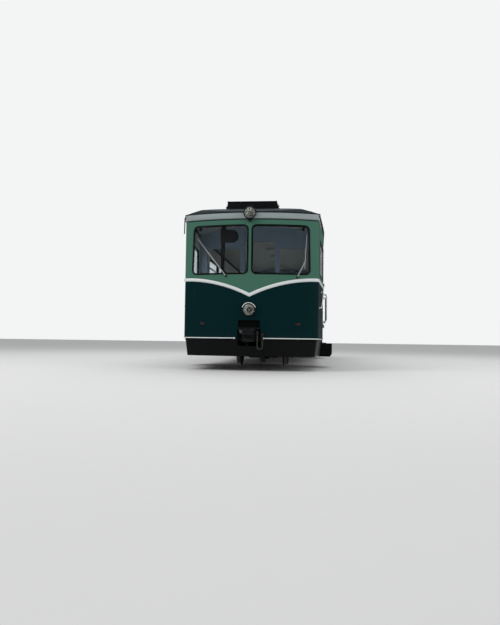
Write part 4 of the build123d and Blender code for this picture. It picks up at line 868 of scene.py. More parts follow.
class Stage:
    """Floor, sky, lamps and the camera at the photo's angle."""

    focal_px: float = 590.0
    long_side_px: float = 625.0
    camera_place: Point = (1.2, -10.863 - CORNER_Y, 0.535 + FLANGE)
    yaw: float = radians(-6.35)
    pitch: float = radians(2.69)
    roll: float = radians(0.76)

    def build(self) -> None:
        """Adds everything around the object."""
        self.floor()
        self.sky()
        self.lamps()
        self.camera()

    def floor(self) -> None:
        """A pale floor that reaches to the horizon."""
        reach = 160.0
        mesh = bpy.data.meshes.new("floor_plane")
        mesh.from_pydata([(-reach, -reach, 0), (reach, -reach, 0), (reach, reach, 0), (-reach, reach, 0)], [],
                         [(0, 1, 2, 3)])
        made = bpy.data.materials.new("studio_floor")
        made.use_nodes = True
        tree = Tree(made.node_tree)
        speck = tree.times(tree.noise(tree.place(), 8.0, 4.0), 0.12)
        colour = tree.mix(speck, (0.74, 0.74, 0.735), (0.62, 0.62, 0.615))
        tree.feed(made.node_tree.nodes["Principled BSDF"], {"Base Color": colour, "Roughness": 0.85})
        mesh.materials.append(made)
        linked("studio_floor", mesh)

    def sky(self) -> None:
        """Even pale light, white where it is seen."""
        world = bpy.data.worlds.new("pale_sky")
        bpy.context.scene.world = world
        world.use_nodes = True
        tree = Tree(world.node_tree)
        rays = tree.node("LightPath", {})
        seen = tree.math("MAXIMUM", rays["Is Camera Ray"], rays["Is Transmission Ray"])
        unseen = tree.mix(rays["Is Glossy Ray"], (0.58, 0.585, 0.59), (0.13, 0.14, 0.15))
        tree.feed(world.node_tree.nodes["Background"],
                  {"Color": tree.mix(seen, unseen, (0.9, 0.905, 0.91)), "Strength": 1.0})

    def lamps(self) -> None:
        """Three wide soft lamps."""
        table = (
            # name, place, aimed at, width, power
            ("key_lamp", (-10.0, -14.0, 11.5), (0.0, -3.0, 1.5), 9.0, 1000.0),
            ("fill_lamp", (11.0, -10.0, 6.0), (0.0, -2.0, 1.5), 9.0, 420.0),
            ("top_lamp", (0.0, 2.0, 12.0), (0.0, 0.0, 2.0), 12.0, 700.0),
        )
        for name, place, target, width, power in table:
            light = bpy.data.lights.new(name, "AREA")
            light.shape = "SQUARE"
            light.size = width
            light.energy = power
            lamp = linked(name, light)
            lamp.location = place
            lamp.rotation_euler = (Vector(target) - Vector(place)).to_track_quat("-Z", "Y").to_euler()

    def camera(self) -> None:
        """Sets the camera where the photo was taken from."""
        turn = Matrix.Rotation(-self.yaw, 4, "Z") @ Matrix.Rotation(pi / 2 + self.pitch, 4, "X")
        data = bpy.data.cameras.new("photo_camera")
        data.sensor_width = 36.0
        data.lens = self.focal_px / self.long_side_px * data.sensor_width
        data.clip_end = 500.0
        camera = linked("photo_camera", data)
        place = Matrix.Translation(self.camera_place)
        camera.matrix_world = place @ turn @ Matrix.Rotation(self.roll, 4, "Z")
        bpy.context.scene.camera = camera


# The car


@dataclass
class Assembly:
    """Base of the sub-assemblies.

    Attributes:
        finishes: every finish of the car.
        made: names of the pieces, filled in while it builds.
    """

    finishes: Finishes
    made: list[str] = field(default_factory=list)

    def build(self) -> None:
        """Makes and dresses the pieces."""
        raise NotImplementedError

    def dress(self, nodes: Iterable[str], *finishes: Finish) -> None:
        """Puts finishes on solids that stay in view.

        Args:
            nodes: names of the solids.
            finishes: their finishes, by face number.
        """
        for name in nodes:
            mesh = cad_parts[name].data
            mesh.materials.clear()
            for finish in finishes:
                mesh.materials.append(finish.material())
            self.made.append(name)

    @staticmethod
    def sort(name: str, paint_of: Callable[[Face], int]) -> None:
        """Gives each face of a solid the finish number that a function tells."""
        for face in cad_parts[name].data.polygons:
            face.material_index = paint_of(face)

    def place(
        self, shape: Shape, name: str, slot: str, finishes: Iterable[Finish], body: str = "car",
        replaced: Sequence[str] = (), bevel: float = 0.0, smooth_angle: float = 35.0,
    ) -> bpy.types.Object:
        """Turns a shape into an object that rides on a body.

        Args:
            shape: its faces, with heights above the rail.
            name: the piece's name.
            slot: the record's material slot; not used.
            finishes: its finishes, by face number.
            body: the body that it rides on.
            replaced: the solids that it stands for.
            bevel: width of its rounded edges.
            smooth_angle: edges sharper than this stay crisp, in degrees.

        Returns:
            The new object.
        """
        mesh = bpy.data.meshes.new(name)
        mesh.from_pydata([(x, y, rail(z)) for x, y, z in shape.points], [], shape.faces)
        for finish in finishes:
            mesh.materials.append(finish.material())
        mesh.polygons.foreach_set("material_index", shape.paints)
        work = bmesh.new()
        work.from_mesh(mesh)
        bmesh.ops.remove_doubles(work, verts=work.verts, dist=WELD)
        bmesh.ops.recalc_face_normals(work, faces=work.faces)
        work.to_mesh(mesh)
        work.free()
        mesh.polygons.foreach_set("use_smooth", [True] * len(mesh.polygons))
        mesh.set_sharp_from_angle(angle=radians(smooth_angle))
        piece = linked(name, mesh)
        if bevel > 0:
            rounding = piece.modifiers.new("edges", "BEVEL")
            rounding.width = bevel
            rounding.segments = 2
            rounding.limit_method = "ANGLE"
            rounding.angle_limit = radians(40)
            rounding.harden_normals = True
        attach(piece, body)
        if replaced:
            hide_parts(*replaced)
        self.made.append(name)
        return piece


@dataclass
class BodyShell(Assembly):
    """Painted shell, doors, roof and floor. Outer faces are painted, inner faces lined."""

    pocket_low: float = 0.765 + FLANGE - 0.002
    pocket_high: float = 0.9 + FLANGE + 0.002
    pocket_half: float = 0.202

    def build(self) -> None:
        """Dresses the shell's solids face by face."""
        looks = self.finishes
        shell = ["cab_front_a", "cab_front_b", "side_wall_right", "side_wall_left"]
        shell += [f"door_{door}" for door in DOORS]
        self.dress(shell, looks.body, looks.inner, looks.recess_shade, looks.steel)
        for name in shell:
            self.sort(name, self.wall_paint)
        self.dress(["roof"], looks.roof, looks.inner)
        self.sort("roof", lambda face: int(face.normal.z < -0.2 and abs(face.center.x) < SIDE_X - WALL))
        self.dress(["sash_rails"], looks.steel)
        self.dress(["floor"], looks.frame, looks.floor)
        self.sort("floor", lambda face: int(face.normal.z > 0.5))

    def wall_paint(self, face: Face) -> int:
        """Finish of a wall's face: paint, lining, painted shade in the coupler recess, or bare steel of hinges and
        handles.

        Args:
            face: a face of the shell.

        Returns:
            The finish number.
        """
        x, y, z = face.center
        share = min(max((CORNER_Y - abs(y)) / (CORNER_Y - TAPER_Y), 0), 1.0)
        side = abs(x) - (CORNER_X + share * (SIDE_X - CORNER_X))
        nose = hypot(x, abs(y) + FRONT_CENTRE_Y) - FRONT_RADIUS
        out = side if abs(y) < CORNER_Y - CORNER_RADIUS else max(side, nose)
        # Faces just inside the coupler recess get the near-black finish: painted shade of the recess.
        if self.pocket_low < z < self.pocket_high and abs(x) < self.pocket_half and -0.04 < out < -0.002:
            return 2
        if out > 0.0215 or (out > 0.001 and abs(z - rail(BAND_HEIGHT)) > 0.034 and z > rail(0.6)):
            return 3
        return 1 if out < -0.035 else 0


@dataclass
class Mouldings(Assembly):
    """Half-round waist band and lower trims, with their lengths on the doors.

    Attributes:
        band: width, stand and height above the rail of the waist band.
        trim: the same of the lower trim.
        lift: how much more the trims on the doors stand out and lie up.
    """

    band: Point = (0.062, 0.022, BAND_HEIGHT)
    trim: Point = (0.02, 0.013, 0.571)
    lift: Point = (0, 0.0006, 0.006)
    trim_start: float = 0.265
    knob: float = 0.018
    joint: float = 0.0005

    def build(self) -> None:
        """Replaces the plain mouldings."""
        white = [self.finishes.white]
        between = (self.joint - DOOR_REAR_Y, DOOR_REAR_Y - self.joint)
        band = self.front_band().both_sides().both_ends()
        band.merge(self.level(1, between, self.band).both_sides())
        self.place(band, "waist_band", "bright_trim", white, replaced=["waist_bands"])
        trim = self.front_trim().both_sides().both_ends()
        trim.merge(self.level(1, between, self.trim).both_sides())
        self.place(trim, "lower_trim", "bright_trim", white, replaced=["lower_trims"])
        for door in DOORS:
            side = 1 if door.endswith("right") else -1
            end = -1 if door.startswith("a") else 1
            ends = (end * (DOOR_FRONT_Y - 0.006), end * (DOOR_REAR_Y + 0.009))
            both = self.level(side, ends, self.band)
            both.merge(self.level(side, ends, tuple(a + b for a, b in zip(self.trim, self.lift))))
            self.place(both, f"door_mouldings_{door}", "bright_trim", white, f"door_{door}")

    def front_band(self) -> Shape:
        """The right half of the waist band round end A, back to the door post."""
        frames: list[Frame] = []
        for place, way in plan_line(-DOOR_FRONT_Y - self.joint):
            gap = max(CORNER_X - abs(place.x), 0)
            drop = sqrt(BAND_RADIUS**2 - gap**2)
            slope = gap / drop
            if frames:
                level = Vector((-way.y, way.x, 0))
                up = way.cross((level + UP * slope * abs(level.x)).normalized())
                up = up if up.z > 0 else -up
            else:
                up = UP * sqrt(1 + slope**2)
            frames.append((place + UP * (BAND_HEIGHT - BAND_RADIUS + drop), way, up))
        shape = Shape()
        shape.sweep(half_round(*self.band[:2]), frames)
        return shape

    def level(self, side: int, ends: Flat, form: Point) -> Shape:
        """A level moulding along one side.

        Args:
            side: 1 on the right, -1 on the left.
            ends: Y of both its ends.
            form: its width, stand and height above the rail.

        Returns:
            The shape.
        """
        width, stand, height = form
        way = Vector((side, 0, 0))
        shape = Shape()
        shape.sweep(half_round(width, stand), [(Vector((side * SIDE_X, y, height)), way, UP) for y in ends])
        return shape

    def front_trim(self) -> Shape:
        """The right half of end A's lower trim, with its knob."""
        width, stand, height = self.trim
        start = Vector((self.trim_start, front_y(self.trim_start), 0))
        line = [(start, (start - Vector((0, FRONT_CENTRE_Y, 0))).normalized())]
        line += [pair for pair in plan_line(-DOOR_FRONT_Y - self.joint) if pair[0].x > self.trim_start]
        shape = Shape()
        shape.sweep(half_round(width, stand, 6), [(p + UP * height, way, UP) for p, way in line])
        dome = [(-self.knob * sin(a), self.knob * cos(a)) for a in (0.2, 0.5, 0.8, 1.1, 1.35)]
        shape.lathe([(0.001, self.knob), *dome, (-self.knob, 0)], (start.x, start.y, height), "Y", 24)
        return shape


@dataclass
class Glazing(Assembly):
    """Panes and their rubber."""

    def build(self) -> None:
        """Dresses panes and seals."""
        self.dress(["windscreens", "side_windows"] + [f"door_glass_{door}" for door in DOORS], self.finishes.glass)
        self.dress(["windscreen_seals", "side_window_seals"] + [f"door_seal_{door}" for door in DOORS],
                   self.finishes.rubber)


@dataclass
class Headlamps(Assembly):
    """Lower and roof headlamp at each end, with reflector, bulb, ribbed glass and visor.

    Attributes:
        low: height above the rail, radius and stand of the lower lamp.
        high: the same of the roof lamp.
    """

    low: Point = (1.086, 0.12, 0.062)
    high: Point = (2.85, 0.118, 0.093)
    rim: float = 0.02
    visor_reach: float = 0.03
    visor_thickness: float = 0.01

    def build(self) -> None:
        """Replaces the lamps' solids."""
        looks = self.finishes
        shells, lenses = Shape(), Shape()
        for lamp in (self.low, self.high):
            shells.merge(self.bowl(lamp))
            lenses.merge(self.lens(lamp))
        self.add_bracket(shells)
        self.place(shells.both_ends(), "headlamp_shells", "lamp_paint",
                   [looks.lamp, looks.reflector, looks.bulb, looks.iron], replaced=["headlamps"])
        self.place(lenses.both_ends(), "headlamp_glasses", "lamp_glass", [looks.lamp_glass],
                   replaced=["headlamp_lenses"])
        # The visors' near-white finish is a painted reflection of their chrome.
        self.place(self.visor().both_ends(), "lamp_visors", "bright_trim", [looks.visor],
                   replaced=["headlamp_visors"], bevel=0.002)

    def bowl(self, lamp: Point) -> Shape:
        """Lamp body with its rim, reflector and bulb.

        Args:
            lamp: its height above the rail, radius and stand.

        Returns:
            The shape.
        """
        height, radius, stand = lamp
        inner = radius - self.rim
        back = 0.02 if radius == self.low[1] else 0.0
        depth = min(stand + back - 0.014, 0.07)
        base = 0.008 + depth - stand
        well = [(0.008 + depth * (1 - (n / 8) ** 2), inner * max(n / 8, 0.16)) for n in range(8, -1, -1)]
        rows = (
            # start, profile, sides, finish
            (0, [(back, 0), (back, radius * 0.8), (-stand * 0.3, radius * 0.93),
                   (0.03 - stand, radius * 0.985)], 56, 0),
            (-stand, [(0.031, radius * 0.985), (0.026, radius), (0.008, radius), (0.001, radius - 0.003),
                      (-0.003, radius - 0.009), (-0.002, inner + 0.005), (0.001, inner + 0.002), (0.008, inner)],
             56, 0),
            (-stand, well, 40, 1),
            (base, [(0.002, inner * 0.16), (-0.01, inner * 0.16), (-0.012, inner * 0.12), (-0.012, 0)], 20, 3),
            (base, [(-0.01, 0.01), (-0.018, 0.012), (-0.026, 0.018), (-0.036, 0.016), (-0.042, 0.008),
                    (-0.044, 0)], 20, 2),
        )
        shape = Shape()
        for start, profile, sides, paint in rows:
            shape.lathe(profile, (0, start - NOSE_Y, height), "Y", sides, paint)
        return shape

    def lens(self, lamp: Point) -> Shape:
        """Shallow domed glass set in the rim, with a pressed ring near its edge.

        Args:
            lamp: its height above the rail, radius and stand.

        Returns:
            The shape.
        """
        height, radius, stand = lamp
        edge = radius - self.rim - 0.0005
        front = []
        for share in (step / 12 for step in range(13)):
            swell = 0.011 * (1 - share**2) + (0.0022 if 0.68 < share < 0.8 else 0)
            front.append((0.006 - stand - swell, edge * share))
        shape = Shape()
        shape.lathe(front + [(y + 0.005, r) for y, r in front[::-1]], (0, -NOSE_Y, height), "Y", 40)
        return shape

    def visor(self) -> Shape:
        """Hood over the upper part of the lower lamp, near-white as a painted reflection of its chrome."""
        height, radius, stand = self.low
        near, far = radius + 0.0005, radius + self.visor_thickness
        half, steps = radians(72), 30
        rings = []
        for step in range(steps + 1):
            angle = pi / 2 - half + 2 * half * step / steps
            rise = max(0, (sin(angle) - cos(half)) / 0.69)
            reach = stand + self.visor_reach * rise**0.7
            ring = []
            for spread, depth in ((near, 0), (near, reach), (far, reach - 0.003), (far, 0)):
                x = spread * cos(angle)
                y = -NOSE_Y - depth if depth > 0 else front_y(x) + 0.004
                ring.append((x, y, height + spread * sin(angle)))
            rings.append(ring)
        shape = Shape()
        shape.rings(rings)
        return shape

    def add_bracket(self, shape: Shape) -> None:
        """Adds the foot under the roof lamp."""
        low = self.high[0] - self.high[1] - 0.034
        outline = [(-0.022, low), (0.022, low), (0.034, low + 0.05), (-0.034, low + 0.05)]
        shape.prism(outline, "XZ", -NOSE_Y - 0.07, -NOSE_Y + 0.002)
        shape.bolts([(x, -NOSE_Y - 0.07, low + 0.012) for x in (-0.012, 0.012)], "Y", 0.006, -0.005, 3)


@dataclass
class TailLamps(Assembly):
    """Oval tail lamps low on each front."""

    places: Flat = (0.885, 0.835)
    size: Flat = (0.12, 0.062)
    stand: float = 0.014

    def build(self) -> None:
        """Replaces the plain ovals."""
        shape = self.oval(1).merge(self.oval(-1)).both_ends()
        self.place(shape, "tail_lamp_units", "red_lens", [self.finishes.lamp, self.finishes.ruby],
                   replaced=["tail_lamps"])

    def oval(self, side: int) -> Shape:
        """One lamp of end A: dark rim and domed ruby glass.

        Args:
            side: 1 on the right, -1 on the left.

        Returns:
            The shape.
        """
        rows = (
            # share of the size, share of the stand, finish
            (1.0, -0.003 / self.stand, 0), (1.0, 0.7, 0), (0.94, 1.0, 0), (0.82, 1.0, 0), (0.8, 0.55, 1),
            (0.55, 1.15, 1), (0.25, 1.4, 1),
        )
        half_length, half_width = self.size[0] / 2, self.size[1] / 2
        rings = []
        for share, out, _ in rows:
            ring = []
            for across, up in circle(half_width, 36):
                straight = copysign(half_length - half_width, across)
                x = side * self.places[0] + (straight + across) * share
                ring.append((x, front_y(x, out * self.stand), self.places[1] + up * share))
            rings.append(ring)
        shape = Shape()
        for first, second, (_, _, paint) in zip(rings, rings[1:], rows[1:]):
            shape.rings([first, second], paint, caps=False)
        shape.add(rings[-1], [list(range(36))], 1)
        return shape


@dataclass
class Wheelsets(Assembly):
    """Axle, wheels, rack pinion and brake drum, one body for each axle."""

    back: float = 0.47
    width: float = 0.11
    axle: float = 0.065
    pinion_teeth: int = 19
    pinion_pitch: float = 0.3024
    sides: int = 96

    def build(self) -> None:
        """Replaces both wheelsets."""
        looks = self.finishes
        whole = self.wheel().both_sides()
        self.add_axle(whole)
        self.add_pinion(whole)
        self.add_drum(whole)
        for letter, end, shape in (("a", -1, whole), ("b", 1, whole.turned())):
            moved = shape.moved(Matrix.Translation((0, end * AXLE_Y, TREAD_RADIUS)))
            self.place(moved, f"wheels_and_axle_{letter}", "wheel_steel",
                       [looks.wheel, looks.tread, looks.steel, looks.iron],
                       f"wheelset_{letter}", [f"wheelset_{letter}"], smooth_angle=28)

    def wheel(self) -> Shape:
        """The right wheel: dished web, rim, flange and worn bright tread."""
        radius, flange, rim, hub = TREAD_RADIUS, TREAD_RADIUS + FLANGE, TREAD_RADIUS - 0.055, self.axle + 0.055
        back, front = self.back, self.back + self.width
        rows = (
            # start, profile, finish
            (back, [(0, rim - 0.005), (0, flange - 0.012), (0.003, flange - 0.003), (0.009, flange),
                    (0.017, flange), (0.023, flange - 0.006)], 0),
            (back, [(0.023, flange - 0.006), (0.027, radius + 0.01), (0.031, radius + 0.004),
                    (0.038, radius + 0.0005), (0.062, radius - 0.0012), (self.width - 0.006, radius - 0.003)], 1),
            (front, [(-0.006, radius - 0.003), (-0.001, radius - 0.006), (0, radius - 0.01), (0, rim + 0.006),
                     (-0.004, rim), (-0.02, rim - 0.003), (-0.034, rim - 0.016), (-0.041, rim - 0.04),
                     (-0.047, hub + 0.04), (-0.04, hub + 0.014), (-0.016, hub + 0.003), (0.004, hub),
                     (0.006, hub - 0.004), (0.006, self.axle)], 0),
            (back, [(-0.016, self.axle), (-0.016, hub - 0.002), (-0.012, hub), (0.03, hub + 0.006),
                    (0.042, hub + 0.022), (0.049, hub + 0.05), (0.05, rim - 0.04), (0.042, rim - 0.02),
                    (0.02, rim - 0.006), (0, rim - 0.005)], 0),
        )
        shape = Shape()
        for start, profile, paint in rows:
            shape.lathe(profile, (start, 0, 0), "X", self.sides, paint)
        stud = [(0, 0.03), (0.004, 0.028), (0.004, 0.02), (-0.006, 0.018), (-0.006, 0)]
        for y, z in circle(0.205, 6):
            shape.lathe(stud, (front - 0.046, y, z), "X", 18, 3)
        return shape

    def add_axle(self, shape: Shape) -> None:
        """Adds the axle with its seats and journals."""
        half = [(0, 0.077), (0.165, 0.077), (0.175, self.axle), (0.45, self.axle), (0.6, self.axle),
                (0.608, 0.06), (0.62, 0.045), (0.826, 0.045), (0.83, 0.041), (0.83, 0)]
        for side in BOTH:
            shape.lathe([(side * along, radius) for along, radius in half], (0, 0, 0), "X", 32, 2)

    def add_pinion(self, shape: Shape) -> None:
        """Adds the rack pinion with straight-flanked teeth and lightening holes."""
        tip, root = self.pinion_pitch + 0.028, self.pinion_pitch - 0.034
        half, web, inner = 0.055, 0.02, 0.238
        flanks = ((-0.037, root), (-0.0135, tip - 0.004), (-0.0105, tip), (0.0105, tip), (0.0135, tip - 0.004),
                  (0.037, root))
        outline, ring = [], []
        for number in range(self.pinion_teeth):
            for spread, radius in flanks:
                angle = tau * number / self.pinion_teeth - pi / 2 + spread / radius
                outline.append((radius * cos(angle), radius * sin(angle)))
                ring.append((inner * cos(angle), inner * sin(angle)))
        shape.rings([[(x, *pair) for pair in outline] for x in (-half, half)], 1, caps=False)
        side_profile = [(half, inner), (half - 0.004, 0.232), (web, 0.226), (web, 0.118), (half, 0.11),
                        (half + 0.03, 0.105), (half + 0.03, 0.077)]
        hole = [(web + 0.0005, 0.038), (web + 0.004, 0.036), (web + 0.004, 0.028), (web - 0.012, 0.026),
                (web - 0.012, 0)]
        for side in BOTH:
            shape.rings([[(side * half, *pair) for pair in line] for line in (outline, ring)], 3, caps=False)
            shape.lathe([(side * along, radius) for along, radius in side_profile], (0, 0, 0), "X", 57, 3)
            for y, z in circle(0.175, 6):
                shape.lathe([(side * along, radius) for along, radius in hole], (0, y, z), "X", 20, 3)

    def add_drum(self, shape: Shape) -> None:
        """Adds the brake drum beside the pinion."""
        start, end, radius = 0.055, 0.145, 0.235
        shape.lathe([(start, 0.11), (start, radius - 0.003), (start + 0.003, radius), (end - 0.003, radius),
                     (end, radius - 0.003), (end, radius - 0.022), (start + 0.016, radius - 0.022),
                     (start + 0.016, 0.105), (end, 0.105), (end, 0.077)], (0, 0, 0), "X", 64, 3)
        shape.bolts([(end - 0.074, y, z) for y, z in circle(0.15, 8)], "X", 0.012, 0.012, 2)


@dataclass
class Running(Assembly):
    """Frame, boxes, springs, motors and what hangs under the floor."""

    pipe_x: float = 0.635
    pipe_height: float = 0.585
    motor_y: float = 2.2
    hose_radius: float = 0.014
    hose_length: float = 0.555
    hose_route: tuple[Point, ...] = (
        (0.16, -5.86, 0.64), (0.16, -5.86, 0.475), (0.16, -5.86, 0.38), (0.255, -5.86, 0.38),
        (0.255, -5.86, 0.475), (0.255, -5.86, 0.616),
    )
    guard_half: float = 0.196
    guard_low: float = 0.736
    guard_high: float = 0.767

    def build(self) -> None:
        """Dresses the solids and adds bolts, pipes, cables and latches."""
        looks = self.finishes
        iron = looks.iron
        self.dress(["underframe", "leaf_springs", "traction_motors", "gear_cases", "air_tanks", "equipment_cases",
                    "brake_pipes"], looks.frame)
        self.dress(["axle_boxes", "brake_gear"], iron)
        self.dress(["couplers"], looks.coupler)
        self.dress(["aprons", "door_steps"], looks.black)
        self.place(self.bolt_heads(), "frame_bolts", "frame_paint", [looks.steel, iron])
        self.place(self.pipes(), "air_pipes", "frame_paint", [iron, looks.hose])
        self.hang_hoses()
        self.place(self.coupler_gear(), "coupler_gear", "cast_iron", [looks.coupler, looks.link], bevel=0.0015)
        self.place(self.hose_clamps(), "hose_clamps", "cast_iron", [iron])
        self.place(self.step_ribs(), "step_ribs", "black_paint", [looks.black])
        self.place(self.latches(), "case_latches", "frame_paint", [iron], bevel=0.002)

    def bolt_heads(self) -> Shape:
        """Bolts of the axle boxes' covers, motors, headstocks and couplers, and the springs' clips."""
        shape = Shape()
        corners = ((0.722, 0.07), (0.722, 0.175), (0.812, 0.175), (0.812, 0.07))
        for side, end in QUARTERS:
            cover = [(side * 0.85, end * AXLE_Y + y, TREAD_RADIUS + z) for y, z in circle(0.058, 6, 0.5)]
            shape.bolts(cover, "X", 0.009, side * 0.008)
            for y in (end * AXLE_Y - 0.052, end * AXLE_Y + 0.052):
                clip = rounded_path([(side * x, y, TREAD_RADIUS + z) for x, z in corners], 0.018)
                shape.tube(clip, 0.007, 8, 1)
            plate = [(x, h) for x in (0.12, 0.2) for h in (0.545, 0.6, 0.655)]
            plate += [(x, 0.66) for x in (0.45, 0.74, 0.78, 1.05)]
            shape.bolts([(side * x, end * 5.31, h) for x, h in plate], "Y", 0.013, end * 0.01, 1)
            shape.bolts([(side * 0.105, end * y, 0.6 + z) for y in (5.86, 5.93) for z in (-0.06, 0.06)],
                        "X", 0.01, side * 0.008, 1)
        for end in BOTH:
            ring = [(end * 0.4, end * self.motor_y + y, TREAD_RADIUS + z) for y, z in circle(0.18, 8)]
            shape.bolts(ring, "X", 0.01, end * 0.008, 1)
        return shape

    def pipes(self) -> Shape:
        """Air pipes along the frame with their clips, tank pipes and motor cables."""
        shape = Shape()
        z = self.pipe_height
        for side in BOTH:
            x = side * self.pipe_x
            shape.tube([(x, -5.25, z), (x, 5.25, z)], 0.012, 10)
            for y in (-3.25, -2.2, 0, 2.2, 3.25):
                shape.box((x - 0.02, y - 0.012, z - 0.015), (x + 0.02, y + 0.012, 0.602))
            for y in BOTH:
                shape.lathe([(-0.02, 0), (-0.02, 0.018), (0.02, 0.018), (0.02, 0)], (x, y, z), "Y", 8)
            bend = [(x, 0.9, z), (x - side * 0.1, 0.9, z - 0.04), (side * 0.32, 0.9, 0.5), (side * 0.32, 0.66, 0.46)]
            shape.tube(rounded_path(bend, 0.06), 0.01, 8)
        for end in BOTH:
            for x in (-0.16, -0.1, -0.04):
                cable = [(x, end * y, h) for y, h in ((2.0, 0.43), (1.86, 0.47), (1.76, 0.6), (1.76, 0.748))]
                shape.tube(rounded_path(cable, 0.08), 0.011, 8, 1)
        return shape

    def hang_hoses(self) -> None:
        """Makes the brake hose of each end, which hangs free from its cock to its holder."""
        for label, turn in (("a", 1), ("b", -1)):
            route = [(turn * x, turn * y, rail(height)) for x, y, height in self.hose_route]
            curve = bpy.data.curves.new(f"brake_hose_{label}", "CURVE")
            curve.dimensions = "3D"
            curve.bevel_depth = self.hose_radius
            curve.bevel_resolution = 5
            curve.resolution_u = 16
            curve.use_fill_caps = True
            spline = curve.splines.new("NURBS")
            spline.points.add(len(route) - 1)
            for point, place in zip(spline.points, route):
                point.co = (*place, 1.0)
            spline.order_u = 3
            spline.use_endpoint_u = True
            curve.materials.append(self.finishes.hose.material())
            hose = linked(f"brake_hose_{label}", curve)
            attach(hose, "car")
            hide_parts("brake_hoses")
            self.made.append(hose.name)

    def coupler_gear(self) -> Shape:
        """Guard plate over each coupler's opening, and the shaft, weight and link that lift its pin."""
        shape = Shape()
        low, high = self.guard_low, self.guard_high
        rings = []
        for x in (self.guard_half * (step / 7 - 1) for step in range(15)):
            back, front = front_y(x) + 0.003, front_y(x, 0.008)
            rings.append([(x, back, low), (x, front, low), (x, front, high), (x, back, high)])
        shape.rings(rings)
        shape.bolts([(x, front_y(x, 0.008), (low + high) / 2) for x in (-0.17, -0.06, 0.06, 0.17)], "Y", 0.009,
                    -0.006, 1)
        y, height = front_y(0) - 0.034, 0.716
        shape.tube([(-0.182, y, height), (0.118, y, height)], 0.008, 12, 1)
        for x in (-0.176, 0.104):
            wall = front_y(x) + 0.002
            ear = [(wall, low + 0.004), (y - 0.013, height - 0.004), (y - 0.01, height - 0.013),
                   (y + 0.012, height - 0.011), (wall, low + 0.02)]
            shape.prism(ear, "YZ", x - 0.004, x + 0.004)
        weight = [(-0.012, 0), (-0.016, 0.02), (-0.012, 0.032), (0, 0.037), (0.012, 0.032), (0.016, 0.02), (0.012, 0)]
        shape.lathe(weight, (-0.132, y - 0.004, 0.688), "Y", 28, 1)
        shape.tube([(-0.132, y, height), (-0.132, y - 0.002, 0.7)], 0.007, 10, 1)
        link = [(0, y, height), (0, y - 0.045, height + 0.004), (0, y - 0.086, 0.712), (0, y - 0.086, 0.697)]
        shape.tube(rounded_path(link, 0.012), 0.005, 10, 1)
        return shape.both_ends()

    def hose_clamps(self) -> Shape:
        """Clamps at both ends of each hose and the lever of its cock."""
        shape = Shape()
        half = [(0.012, 0.013), (0.012, 0.0185), (0.004, 0.0185), (0.003, 0.0165)]
        clamp = [(-along, radius) for along, radius in half] + half[::-1]
        for x, height in ((0.16, 0.622), (0.255, 0.6)):
            shape.lathe(clamp, (x, -5.86, height), "Z", 20)
        shape.tube([(0.16, -5.884, 0.668), (0.16, -5.905, 0.668)], 0.01, 10)
        shape.box((0.154, -5.912, 0.63), (0.166, -5.904, 0.676))
        return shape.both_ends()

    def step_ribs(self) -> Shape:
        """Raised ribs on the treads."""
        shape = Shape()
        section = ((-0.005, -0.001), (-0.003, 0.003), (0.003, 0.003), (0.005, -0.001))
        for low_x, high_x, top in ((1.262, 1.5, 0.22), (1.325, 1.535, 0.486)):
            for x in (low_x + (high_x - low_x) * number / 8 for number in range(9)):
                shape.prism([(x + across, top + up) for across, up in section], "XZ", -3.84, -2.9)
        return shape.both_sides().both_ends()

    def latches(self) -> Shape:
        """Latches, hinges and rivets of the equipment cases."""
        shape = Shape()
        face = 1.246
        for middle in (-1.0075, -0.4325, 0.4325, 1.0075):
            for y in (middle - 0.15, middle + 0.15):
                for low, high, half, out in ((0.575, 0.615, 0.022, 0.008), (0.355, 0.385, 0.015, 0.014)):
                    shape.box((face, y - half, low), (face + out, y + half, high))
                shape.lathe([(0, 0), (0, 0.007), (0.02, 0.007), (0.022, 0)], (face + 0.006, y, 0.37), "X", 8)
        return shape.both_sides()


